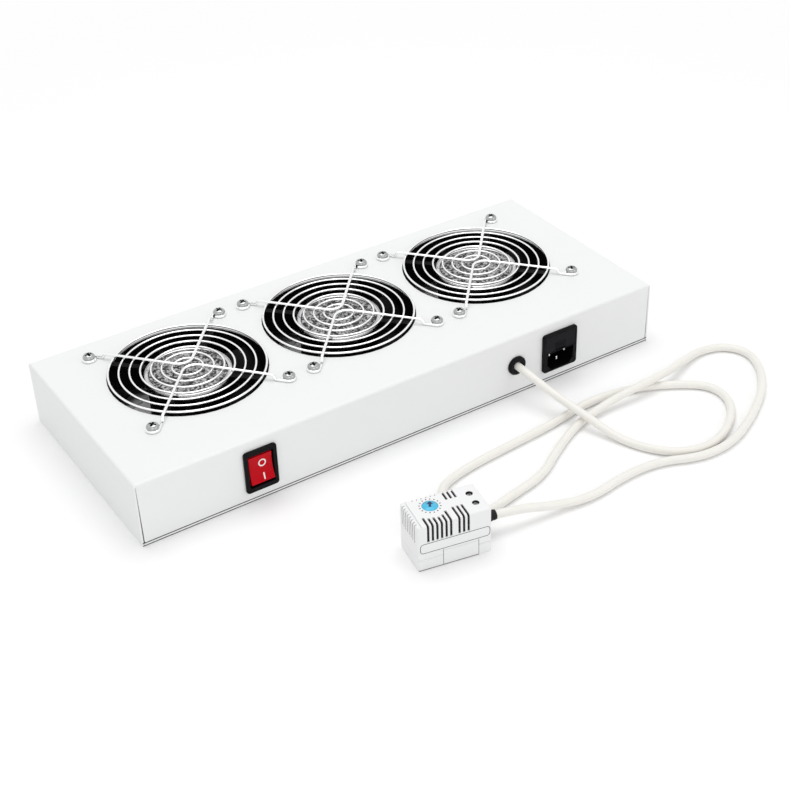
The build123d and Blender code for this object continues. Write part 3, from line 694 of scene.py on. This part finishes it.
def rocker_outline():
    radius = hypot(ROCKER_HALF, ROCKER_REACH)
    lean = atan2(ROCKER_REACH, ROCKER_HALF)
    behind = asin(ROCKER_BACK / radius)
    heights = [ROCKER_HALF * (2 * i / FACE_STEPS - 1) for i in range(FACE_STEPS + 1)]
    face = [(height, dish(height)) for height in heights]
    turns = [lean - (lean + behind) * i / ARC_STEPS for i in range(1, ARC_STEPS + 1)]
    upper = [(radius * cos(a), radius * sin(a)) for a in turns]
    lower = [(-x, y) for x, y in reversed(upper)]
    return face + upper + lower


body = prism(rocker_outline(), -ROCKER_WIDTH / 2, ROCKER_WIDTH / 2, pivot_place)
axle_profile = [(0, -AXLE_REACH), (AXLE_RADIUS, -AXLE_REACH), (AXLE_RADIUS, AXLE_REACH), (0, AXLE_REACH)]
axle = lathe("axle", axle_profile, pivot_place, AXLE_STEPS)
rocker_piece = carved("rocker_red", [body, axle], [], ROCKER_EDGE)
finish_piece(rocker_piece, "rocker_body", rocker_red)
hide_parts("rocker")

# Marks on the rocker
INLAY_DEPTH = 0.15
MARK_RAISE = 0.05
MARK_X = 1.3
OFF_CENTRE = 3.7
OFF_RADIUS = 2.9
OFF_HOLE = 2.0
ON_LOW = -8.9
ON_HIGH = -4.1
ON_WIDTH = 1.0
BAR_STEPS = 8


def inlay(name, outer, place, height, inner=None):
    """A thin mark that follows a surface: an outline, or a ring between two outlines."""
    builder = bmesh.new()

    def loop(points, drop):
        return [builder.verts.new((x, y, height(x, y) - drop)) for x, y in points]

    loops = [loop(outer, INLAY_DEPTH), loop(outer, 0)]
    if inner:
        loops += [loop(inner, 0), loop(inner, INLAY_DEPTH)]
    else:
        builder.faces.new(loops[0][::-1])
        builder.faces.new(loops[1])
    count = len(outer)
    pairs = list(zip(loops, loops[1:])) + ([(loops[-1], loops[0])] if inner else [])
    for one, other in pairs:
        for i in range(count):
            j = (i + 1) % count
            builder.faces.new((one[i], one[j], other[j], other[i]))
    return to_object(name, builder, place)


def bar(centre_x, low, high, width):
    heights = [low + (high - low) * i / BAR_STEPS for i in range(BAR_STEPS + 1)]
    right = [(centre_x + width / 2, y) for y in heights]
    left = [(centre_x - width / 2, y) for y in reversed(heights)]
    return right + left


def mark_height(x, y):
    return dish(y) + MARK_RAISE


off_outer = circle(MARK_X, OFF_CENTRE, OFF_RADIUS)
off_inner = circle(MARK_X, OFF_CENTRE, OFF_HOLE)
off_mark = inlay("mark_off", off_outer, marks_place, mark_height, off_inner)
on_mark = inlay("mark_on", bar(MARK_X, ON_LOW, ON_HIGH, ON_WIDTH), marks_place, mark_height)
for mark in (off_mark, on_mark):
    finish_piece(mark, "rocker_body", mark_white, smooth=False)

# Mains inlet
INLET_X = 128.0
INLET_BEZEL = (31, 32.5)
INLET_BEZEL_DEPTH = 2.5
INLET_BACK = (27.6, 30.6)
SOCKET_Z = 18.0
SOCKET_HALF_WIDTH = 12
SOCKET_HALF_HEIGHT = 7.2
SOCKET_SLANT = 4
SOCKET_FLOOR = -12.5
DRAWER_Z = 33.0
FACE_RECESS = (27.3, 13.9)
FACE_RECESS_CORNER = 0.9
FACE_BACK = 1.0
DRAWER_HOLE = (24.6, 9.6)
DRAWER_HOLE_END = -16.3
DRAWER_HOLE_START = 2
PAST_BEZEL = 4
bezel = soft_box(INLET_X, PANEL_Z, *INLET_BEZEL, BEZEL_CORNER, 0, INLET_BEZEL_DEPTH, BEZEL_EDGE, front_place)
back_box = prism(rectangle(INLET_X, PANEL_Z, *INLET_BACK), CASE_BACK, CASE_OVERLAP, front_place)
socket_low = SOCKET_Z - SOCKET_HALF_HEIGHT
socket_high = SOCKET_Z + SOCKET_HALF_HEIGHT
socket = prism([
    (INLET_X - SOCKET_HALF_WIDTH, socket_high),
    (INLET_X - SOCKET_HALF_WIDTH, socket_low + SOCKET_SLANT),
    (INLET_X - SOCKET_HALF_WIDTH + SOCKET_SLANT, socket_low),
    (INLET_X + SOCKET_HALF_WIDTH - SOCKET_SLANT, socket_low),
    (INLET_X + SOCKET_HALF_WIDTH, socket_low + SOCKET_SLANT),
    (INLET_X + SOCKET_HALF_WIDTH, socket_high),
], SOCKET_FLOOR, PAST_BEZEL, front_place)
recess_outline = rectangle(INLET_X, DRAWER_Z, *FACE_RECESS, FACE_RECESS_CORNER)
drawer_recess = prism(recess_outline, FACE_BACK, PAST_BEZEL, front_place)
hole_outline = rectangle(INLET_X, DRAWER_Z, *DRAWER_HOLE)
drawer_hole = prism(hole_outline, DRAWER_HOLE_END, DRAWER_HOLE_START, front_place)
inlet_case = carved("inlet_case", [bezel, back_box], [socket, drawer_recess, drawer_hole], CASE_EDGE)
finish_piece(inlet_case, "tray", gloss_black)
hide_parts("inlet_body")

PIN_SIZE = (1.8, 3.6)
PIN_CORNER = 0.88
PIN_EDGE = 0.85
PIN_TAIL = -27.5
PIN_TIP = -1.6
PIN_PLACES = ((-7, 3.4), (7, 3.4), (0, -2.2))
pins = []
for x, z in PIN_PLACES:
    pins.append(soft_box(INLET_X + x, SOCKET_Z + z, *PIN_SIZE, PIN_CORNER, PIN_TAIL, PIN_TIP, PIN_EDGE,
                         front_place))
inlet_pins = joined("inlet_pins_nickel", pins)
finish_piece(inlet_pins, "tray", pin_metal)
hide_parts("inlet_pins")

# Fuse drawer: face plate with a finger notch and ribs, and a tray for the fuse behind it
DRAWER_FACE = (27, 13.6)
DRAWER_FACE_CORNER = 0.8
DRAWER_FACE_EDGE = 0.35
DRAWER_BOX = (24, 9)
DRAWER_BOX_END = -16
DRAWER_BOX_START = 1.2
DRAWER_HOLLOW_WIDTH = 21.6
DRAWER_FLOOR = 1.2
DRAWER_HOLLOW_END = -14.8
DRAWER_HOLLOW_START = -0.2
NOTCH = (9, 2.4)
NOTCH_CORNER = 0.4
NOTCH_DROP = 6.8
NOTCH_FLOOR = 1.7
RIB = (10, 0.5)
RIB_COUNT = 4
RIB_DROP = 4.6
RIB_PITCH = 1.2
RIB_BASE = 2.3
RIB_TOP = 2.85
DRAWER_EDGE = 0.12
drawer_face = soft_box(INLET_X, DRAWER_Z, *DRAWER_FACE, DRAWER_FACE_CORNER, FACE_BACK, INLET_BEZEL_DEPTH,
                       DRAWER_FACE_EDGE, front_place)
drawer_box = prism(rectangle(INLET_X, DRAWER_Z, *DRAWER_BOX), DRAWER_BOX_END, DRAWER_BOX_START, front_place)
hollow_outline = rectangle(INLET_X, DRAWER_Z + DRAWER_FLOOR, DRAWER_HOLLOW_WIDTH, DRAWER_BOX[1])
drawer_hollow = prism(hollow_outline, DRAWER_HOLLOW_END, DRAWER_HOLLOW_START, front_place)
notch_outline = rectangle(INLET_X, DRAWER_Z - NOTCH_DROP, *NOTCH, NOTCH_CORNER)
notch = prism(notch_outline, NOTCH_FLOOR, PAST_BEZEL, front_place)
ribs = []
for i in range(RIB_COUNT):
    rib_outline = rectangle(INLET_X, DRAWER_Z - RIB_DROP + RIB_PITCH * i, *RIB)
    ribs.append(prism(rib_outline, RIB_BASE, RIB_TOP, front_place))
drawer = carved("fuse_drawer_black", [drawer_face, drawer_box, *ribs], [drawer_hollow, notch], DRAWER_EDGE)
finish_piece(drawer, "drawer_body", satin_black)
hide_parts("fuse_drawer")

# Fuse: two caps on a glass tube, and the wire in it
FUSE_Y = -81.5
FUSE_Z = 32.2
FUSE_STEPS = 24
FUSE_WIRE_REACH = 5
FUSE_WIRE_RADIUS = 0.15
CAP_PROFILE = [(0, 10), (2.3, 10), (2.5, 9.7), (2.5, 4.8), (2.2, 4.8), (0, 4.8)]
GLASS_PROFILE = [(2.0, -9), (2.3, -9), (2.3, 9), (2.0, 9), (2.0, -9)]
fuse_place = Matrix.Translation((INLET_X, FUSE_Y, FUSE_Z)) @ Matrix.Rotation(pi / 2, 4, "Y")
fuse_parts = []
for end in (-1, 1):
    fuse_parts.append(lathe("cap", [(r, end * z) for r, z in CAP_PROFILE], fuse_place, FUSE_STEPS))
wire_ends = [(INLET_X + end * FUSE_WIRE_REACH, FUSE_Y, FUSE_Z) for end in (-1, 1)]
fuse_parts.append(tube("wire", wire_ends, FUSE_WIRE_RADIUS))
fuse_caps = joined("fuse_caps", fuse_parts)
finish_piece(fuse_caps, "drawer_body", pin_metal)
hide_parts("fuse")
glass = lathe("fuse_tube", GLASS_PROFILE, fuse_place, FUSE_STEPS)
finish_piece(glass, "drawer_body", fuse_glass)

# Grommet round the cord
GROMMET_X = 89
GROMMET_PROFILE = [
    (3.15, -4.2), (5.9, -4.2), (5.9, 0), (7.5, 0), (7.5, 1.3), (7.3, 1.75), (6.9, 2.0), (4.2, 2.0),
    (3.6, 1.8), (3.15, 1.3), (3.15, -4.2),
]
FINE_STEPS = 64
grommet_place = front_place @ Matrix.Translation((GROMMET_X, PANEL_Z, 0))
grommet = lathe("grommet_ring", GROMMET_PROFILE, grommet_place, FINE_STEPS)
finish_piece(grommet, "tray", satin_black)
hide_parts("cord_grommet")

# Thermostat: its own frame has X along the housing, Y to the back and Z up
STAT_LENGTH = 51.6
STAT_WIDTH = 29.4
STAT_TOP = 34.9
STAT_WALL = 1.6
STAT_BASE = 8.4
STAT_CORNER = 1.8
STAT_EDGE = 1.6
STAT_CORNER_AT = (-81.2, -212.5, 0)
STAT_TURN = -10.9
stat_place = Matrix.Translation(STAT_CORNER_AT) @ Matrix.Rotation(radians(STAT_TURN), 4, "Z")
stat_middle = (STAT_LENGTH / 2, STAT_WIDTH / 2)

# Slots over the long edges: place along the housing, reach on the top in front and behind
SLOT_WIDTH = 1.7
SLOT_PITCH = 3.15
SLOT_FOOT = 22.0
FIRST_SLOTS = 7.6
FIRST_REACHES = (9.0, 7.4, 7.0, 6.4, 7.4, 10.1)
FIRST_BACK_REACH = 2.6
LONG_SLOTS = 29.1
LONG_COUNT = 3
LONG_REACH = 11.8
LONG_BACK_REACH = 9.5
slot_places = []
for i, reach in enumerate(FIRST_REACHES):
    slot_places.append((FIRST_SLOTS + i * SLOT_PITCH, reach, FIRST_BACK_REACH))
for i in range(LONG_COUNT):
    slot_places.append((LONG_SLOTS + i * SLOT_PITCH, LONG_REACH, LONG_BACK_REACH))

# Slots down the left end, the groove beside them, and the seams round the base's tongues
END_SLOTS = 8
END_PITCH = 2.9
END_WIDTH = 0.75
END_FOOT = 20.8
END_WALL_U = -1
END_WALL_LENGTH = 6
END_WALL_DROP = 1.2
END_TOP_U = 0.1
END_TOP_LENGTH = 3.4
END_TOP_DROP = 1.4
GROOVE_U = 3.2
GROOVE_WIDTH = 1.0
GROOVE_DEPTH = 0.9
TONGUE_U = 30.05
TONGUE_GAP_WIDTH = 24.7
TONGUE_GAP_TOP = 11.9
SEAMS = (17.7, 42.4)
SEAM_WIDTH = 0.35
SEAM_OUT = 1
SEAM_BITE = 0.35
SEAM_FOOT = 0.5
SEAM_TOP = 13.0
TERMINALS = ((44.6, 9.5), (44.6, 19.7))
TERMINAL_HOLE = 2.4
DIAL = (16.7, 18.4)
DIAL_RADIUS = 5.3
DIAL_GAP = 0.12
SHELL_GAP = 0.15
HOUSING_EDGE = 0.18
HOLE_DEPTH = 5
# How far a cut goes on past the inner and the outer side of a wall
THROUGH = 0.2
PAST = 2
end_rows = [stat_middle[1] + END_PITCH * (i - (END_SLOTS - 1) / 2) for i in range(END_SLOTS)]


def upright(u, start, end):
    return rectangle(u, (start + end) / 2, SLOT_WIDTH, end - start)


def top_hole(outline):
    return prism(outline, STAT_TOP - HOLE_DEPTH, STAT_TOP + PAST, stat_place)


def terminal_holes():
    return [top_hole(circle(u, v, TERMINAL_HOLE)) for u, v in TERMINALS]


def dial_hole(gap):
    return top_hole(circle(*DIAL, DIAL_RADIUS + gap, FINE_STEPS))


def seam_cuts(low, high):
    cuts = []
    for u in SEAMS:
        for v in (-SEAM_OUT, STAT_WIDTH + SEAM_OUT):
            outline = rectangle(u, v, SEAM_WIDTH, 2 * (SEAM_OUT + SEAM_BITE))
            cuts.append(prism(outline, low, high, stat_place))
    return cuts


shell = soft_box(*stat_middle, STAT_LENGTH, STAT_WIDTH, STAT_CORNER, STAT_BASE + SHELL_GAP, STAT_TOP,
                 STAT_EDGE, stat_place)
hollow_outline = rectangle(*stat_middle, STAT_LENGTH - 2 * STAT_WALL, STAT_WIDTH - 2 * STAT_WALL)
through_top = STAT_TOP - STAT_WALL - THROUGH
through_front = STAT_WALL + THROUGH
through_back = STAT_WIDTH - STAT_WALL - THROUGH
cutters = [prism(hollow_outline, 0, STAT_TOP - STAT_WALL, stat_place)]
for u, reach, back_reach in slot_places:
    for outline, low in (
        (upright(u, -PAST, through_front), SLOT_FOOT),
        (upright(u, -PAST, reach), through_top),
        (upright(u, through_back, STAT_WIDTH + PAST), SLOT_FOOT),
        (upright(u, STAT_WIDTH - back_reach, STAT_WIDTH + PAST), through_top),
    ):
        cutters.append(prism(outline, low, STAT_TOP + PAST, stat_place))
cutters += terminal_holes()
cutters.append(dial_hole(DIAL_GAP))
groove_outline = rectangle(GROOVE_U, stat_middle[1], GROOVE_WIDTH, STAT_WIDTH + 2 * PAST)
cutters.append(prism(groove_outline, STAT_TOP - GROOVE_DEPTH, STAT_TOP + PAST, stat_place))
tongue_gap = rectangle(TONGUE_U, stat_middle[1], TONGUE_GAP_WIDTH, STAT_WIDTH + 2 * PAST)
cutters.append(prism(tongue_gap, 0, TONGUE_GAP_TOP, stat_place))
for v in end_rows:
    end_wall = rectangle(END_WALL_U, v, END_WALL_LENGTH, END_WIDTH)
    cutters.append(prism(end_wall, END_FOOT, STAT_TOP - END_WALL_DROP, stat_place))
    end_top = rectangle(END_TOP_U, v, END_TOP_LENGTH, END_WIDTH)
    cutters.append(prism(end_top, STAT_TOP - END_TOP_DROP, STAT_TOP + PAST, stat_place))
cutters += seam_cuts(0, SEAM_TOP)
housing = carved("thermostat_case", [shell], cutters, HOUSING_EDGE, 2)
finish_piece(housing, "tray", pale_plastic)
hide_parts("thermostat_housing")

# Painted shade: a black box close behind the slots, standing for the shade inside the housing
SLOT_SHADE_SET_BACK = 0.7
SLOT_SHADE_FOOT = 5
SLOT_SHADE_TOP_GAP = 1.0
SLOT_SHADE_CORNER = 1.3
SLOT_SHADE_EDGE = 1.1
SLOT_SHADE_HOLLOW = 4.5
SLOT_SHADE_ROOF_GAP = 0.65
SLOT_SHADE_DIAL_GAP = 0.2
slot_shade_size = (STAT_LENGTH - 2 * SLOT_SHADE_SET_BACK, STAT_WIDTH - 2 * SLOT_SHADE_SET_BACK)
slot_shade_box = soft_box(*stat_middle, *slot_shade_size, SLOT_SHADE_CORNER, STAT_BASE + SLOT_SHADE_FOOT,
                     STAT_TOP - SLOT_SHADE_TOP_GAP, SLOT_SHADE_EDGE, stat_place)
slot_shade_outline = rectangle(*stat_middle, STAT_LENGTH - SLOT_SHADE_HOLLOW, STAT_WIDTH - SLOT_SHADE_HOLLOW)
slot_shade_hollow = prism(slot_shade_outline, 0, STAT_TOP - STAT_WALL - SLOT_SHADE_ROOF_GAP, stat_place)
slot_shade_cuts = [slot_shade_hollow, *terminal_holes(), dial_hole(SLOT_SHADE_DIAL_GAP)]
slot_shade = carved("thermostat_slot_shade", [slot_shade_box], slot_shade_cuts, 0)
finish_piece(slot_shade, "tray", gland_black_and_shade, smooth=False)

# Foot with its two side tongues and the same upright seams as the housing
FOOT_EDGE = 0.2
FOOT_GAP = 0.1
FOOT_CUT_TOP = STAT_BASE + 1
TONGUE_WIDTH = 24.3
TONGUE_LOW = 4
TONGUE_TOP = 11.7
foot = soft_box(*stat_middle, STAT_LENGTH, STAT_WIDTH, STAT_CORNER, 0, STAT_BASE - FOOT_GAP, FOOT_EDGE,
                stat_place)
tongues = [
    prism(rectangle(TONGUE_U, v, TONGUE_WIDTH, STAT_WALL), TONGUE_LOW, TONGUE_TOP, stat_place)
    for v in (STAT_WALL / 2, STAT_WIDTH - STAT_WALL / 2)
]
base = carved("thermostat_foot", [foot, *tongues], seam_cuts(SEAM_FOOT, FOOT_CUT_TOP), FOOT_EDGE, 2)
finish_piece(base, "tray", pale_plastic)
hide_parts("thermostat_base")

# Painted shade: dark lines in the upright seams and in the end's slots, and a painted contact shadow along
# the foot
SEAM_FILL_AT = 0.32
SEAM_FILL = (0.34, 0.5)
SEAM_FILL_TOP = SEAM_TOP - 0.1
END_FILL_U = 0.42
END_FILL_DEPTH = 0.7
END_FILL_WIDTH = END_WIDTH - 0.05
END_FILL_DROP = 1.6
FOOT_SHADOW_AT = (21.5, -0.02)
FOOT_SHADOW = (41.8, 0.1)
FOOT_SHADOW_HEIGHTS = (0.05, 0.5)
shade_fills = []
for v in (SEAM_FILL_AT, STAT_WIDTH - SEAM_FILL_AT):
    for u in SEAMS:
        shade_fills.append(prism(rectangle(u, v, *SEAM_FILL), SEAM_FOOT, SEAM_FILL_TOP, stat_place))
for v in end_rows:
    fill_outline = rectangle(END_FILL_U, v, END_FILL_DEPTH, END_FILL_WIDTH)
    shade_fills.append(prism(fill_outline, END_FOOT, STAT_TOP - END_FILL_DROP, stat_place))
seam_shade = joined("thermostat_seam_shade", shade_fills)
finish_piece(seam_shade, "tray", shade_grey, smooth=False)
foot_shadow = prism(rectangle(*FOOT_SHADOW_AT, *FOOT_SHADOW), *FOOT_SHADOW_HEIGHTS, stat_place)
foot_shadow.name = "thermostat_foot_shadow"
finish_piece(foot_shadow, "tray", shade_grey, smooth=False)

# Dial with its printed arrow, and the ring of ticks round it
DISC_PROFILE = [(0, -4), (5.25, -4), (5.25, -0.3), (5.05, 0), (0, 0)]
ARROW = [(0.8, -1.0), (0.8, 1.8), (2.2, 1.8), (0, 4.8), (-2.2, 1.8), (-0.8, 1.8), (-0.8, -1.0)]
ARROW_TURN = -21
ARROW_RAISE = 0.06
TICK_COUNT = 16
TICK_AT = 6.9
TICK = (1.0, 0.75)
TICK_HEIGHTS = (-0.1, 0.04)
dial_place = stat_place @ Matrix.Translation((*DIAL, STAT_TOP))
disc = lathe("dial_disc", DISC_PROFILE, dial_place, FINE_STEPS)
finish_piece(disc, "dial_body", dial_blue)
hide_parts("thermostat_dial")


def on_dial(x, y):
    return ARROW_RAISE


arrow_place = dial_place @ Matrix.Rotation(radians(ARROW_TURN), 4, "Z")
pointer = inlay("dial_arrow", ARROW, arrow_place, on_dial)
finish_piece(pointer, "dial_body", dial_navy, smooth=False)
ticks = []
for i in range(TICK_COUNT):
    spin = Matrix.Rotation(2 * pi * i / TICK_COUNT, 4, "Z")
    ticks.append(prism(rectangle(TICK_AT, 0, *TICK), *TICK_HEIGHTS, dial_place @ spin))
tick_ring = joined("dial_ticks", ticks)
finish_piece(tick_ring, "tray", print_grey, smooth=False)

# Terminal screws down in their holes, each in a black sleeve that is painted shade on the hole's wall
HOLE_SHADE_FOOT = 29
HOLE_SHADE_RADIUS = 1.9
HOLE_SHADE_GAP = 0.05
HOLE_SHADE_PROFILE = [
    (HOLE_SHADE_RADIUS, HOLE_SHADE_FOOT), (TERMINAL_HOLE - HOLE_SHADE_GAP, HOLE_SHADE_FOOT),
    (TERMINAL_HOLE - HOLE_SHADE_GAP, STAT_TOP - HOLE_SHADE_GAP), (2.0, STAT_TOP - 0.35), (HOLE_SHADE_RADIUS, HOLE_SHADE_FOOT),
]
TERMINAL_PROFILE = [(0, 28), (1.8, 28), (1.8, 33.4), (1.5, 33.9), (0, 34.1)]
TERMINAL_STEPS = 40
DRIVER_SLOT = (5, 0.6)
DRIVER_FLOOR = 33.4
DRIVER_TOP = 36
DRIVER_TURNS = (25, 95)
hole_shades = []
screws = []
for (u, v), turn in zip(TERMINALS, DRIVER_TURNS):
    place = stat_place @ Matrix.Translation((u, v, 0))
    hole_shades.append(lathe("hole_shade", HOLE_SHADE_PROFILE, place, TERMINAL_STEPS))
    head = lathe("head", TERMINAL_PROFILE, place, TERMINAL_STEPS)
    slot_place = place @ Matrix.Rotation(radians(turn), 4, "Z")
    slot = prism(rectangle(0, 0, *DRIVER_SLOT), DRIVER_FLOOR, DRIVER_TOP, slot_place)
    screws.append(carved("screw", [head], [slot], 0))
hole_shade = joined("terminal_hole_shade", hole_shades)
finish_piece(hole_shade, "tray", gland_black_and_shade)
screw = joined("terminal_screws_zinc", screws)
finish_piece(screw, "tray", laminations, smooth=False)
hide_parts("terminal_screws")

# Printed outline on the front: width, height and corner radius of its outer and inner edge
LABEL_AT = (26.1, 17.4)
LABEL_OUTER = (48.6, 7.7, 2.4)
LABEL_INNER = (47.8, 6.9, 2.0)
LABEL_RAISE = 0.05
face_place = stat_place @ Matrix(((1, 0, 0, 0), (0, 0, -1, 0), (0, 1, 0, 0), (0, 0, 0, 1)))


def on_face(x, y):
    return LABEL_RAISE


label_outer = rectangle(*LABEL_AT, *LABEL_OUTER)
label_inner = rectangle(*LABEL_AT, *LABEL_INNER)
label = inlay("label_outline", label_outer, face_place, on_face, label_inner)
finish_piece(label, "tray", print_grey, smooth=False)

# Ribbed gland where the cord enters
GLAND_AT = (STAT_LENGTH, 17, 14)
GLAND_PROFILE = [
    (3.1, -1), (3.6, -1), (3.6, 0), (4.3, 0), (4.3, 2), (3.95, 2.3), (3.95, 3.1), (4.15, 3.4), (4.1, 4.6),
    (3.7, 4.9), (3.7, 5.5), (3.85, 5.8), (3.8, 7.0), (3.45, 7.3), (3.45, 7.9), (3.65, 8.2), (3.6, 9.2),
    (3.35, 9.5), (3.35, 9.9), (3.45, 10.1), (3.3, 10.4), (3.1, 10.4), (3.1, -1),
]
GLAND_STEPS = 40
gland_place = stat_place @ Matrix.Translation(GLAND_AT) @ Matrix.Rotation(pi / 2, 4, "Y")
gland = lathe("gland_rubber", GLAND_PROFILE, gland_place, GLAND_STEPS)
finish_piece(gland, "tray", gland_black_and_shade)
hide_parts("thermostat_gland")

# Floor and light: the floor keeps the shadow near the object and is plain white far from it
def seen_rays(tree):
    """1 for what the camera sees, straight, in a reflection or through glass, and 0 for light."""
    ray = tree.nodes.new("ShaderNodeLightPath")
    seen = ray.outputs["Is Camera Ray"]
    for kind in ("Is Glossy Ray", "Is Transmission Ray"):
        either = tree.nodes.new("ShaderNodeMath")
        either.operation = "MAXIMUM"
        tree.links.new(seen, either.inputs[0])
        tree.links.new(ray.outputs[kind], either.inputs[1])
        seen = either.outputs[0]
    return seen


SHADOW_REACH = 0.45
WHITE_REACH = 1.1
FLOOR_COLOR = (0.95, 0.95, 0.953, 1)
FLOOR_ROUGHNESS = 0.9
FLOOR_SPECULAR = 0.1
FLOOR_SIZE = 6000
floor_shade = bpy.data.materials.new("floor_shade")
floor_shade.use_nodes = True
floor_tree = floor_shade.node_tree
floor_shader = floor_tree.nodes["Principled BSDF"]
floor_shader.inputs["Base Color"].default_value = FLOOR_COLOR
floor_shader.inputs["Roughness"].default_value = FLOOR_ROUGHNESS
floor_shader.inputs["Specular IOR Level"].default_value = FLOOR_SPECULAR
floor_place = floor_tree.nodes.new("ShaderNodeTexCoord")
distance = floor_tree.nodes.new("ShaderNodeVectorMath")
distance.operation = "LENGTH"
floor_tree.links.new(floor_place.outputs["Object"], distance.inputs[0])
far = floor_tree.nodes.new("ShaderNodeMapRange")
far.interpolation_type = "SMOOTHSTEP"
far.inputs["From Min"].default_value = SHADOW_REACH
far.inputs["From Max"].default_value = WHITE_REACH
floor_tree.links.new(distance.outputs["Value"], far.inputs["Value"])
share = floor_tree.nodes.new("ShaderNodeMath")
share.operation = "MULTIPLY"
floor_tree.links.new(far.outputs["Result"], share.inputs[0])
floor_tree.links.new(seen_rays(floor_tree), share.inputs[1])
white = floor_tree.nodes.new("ShaderNodeEmission")
blend = floor_tree.nodes.new("ShaderNodeMixShader")
floor_tree.links.new(share.outputs[0], blend.inputs["Fac"])
floor_tree.links.new(floor_shader.outputs["BSDF"], blend.inputs[1])
floor_tree.links.new(white.outputs["Emission"], blend.inputs[2])
floor_tree.links.new(blend.outputs["Shader"], floor_tree.nodes["Material Output"].inputs["Surface"])
builder = bmesh.new()
bmesh.ops.create_grid(builder, x_segments=2, y_segments=2, size=FLOOR_SIZE)
floor = to_object("floor", builder)
floor.data.materials.append(floor_shade)

# World: a weaker light than the white that is seen
LIGHT_STRENGTH = 0.7
SEEN_STRENGTH = 1.0
world = bpy.data.worlds.new("studio")
scene.world = world
world.use_nodes = True
sky = world.node_tree
background = sky.nodes["Background"]
background.inputs["Color"].default_value = (1, 1, 1, 1)
strength = sky.nodes.new("ShaderNodeMapRange")
strength.inputs["To Min"].default_value = LIGHT_STRENGTH
strength.inputs["To Max"].default_value = SEEN_STRENGTH
sky.links.new(seen_rays(sky), strength.inputs["Value"])
sky.links.new(strength.outputs["Result"], background.inputs["Strength"])

# Lamps: name, place and size in metres, target, power in watts
LAMPS = (
    ("top_light", (0.1, 0.3, 1.9), (1.6, 1.2), (0, 0, 0), 14),
    ("front_light", (-0.9, -1.6, 1.1), (1.2, 0.9), (0, 0, 0), 4.2),
    ("right_light", (0.9, -1.5, 0.8), (1.0, 0.8), (0.1, 0, 0), 2.7),
)
for name, place, size, target, power in LAMPS:
    data = bpy.data.lights.new(name, "AREA")
    data.shape = "RECTANGLE"
    data.size, data.size_y = size
    data.energy = power
    lamp = bpy.data.objects.new(name, data)
    scene.collection.objects.link(lamp)
    aim = (Vector(target) - Vector(place)).to_track_quat("-Z", "Y")
    lamp.matrix_world = Matrix.Translation(place) @ aim.to_matrix().to_4x4()
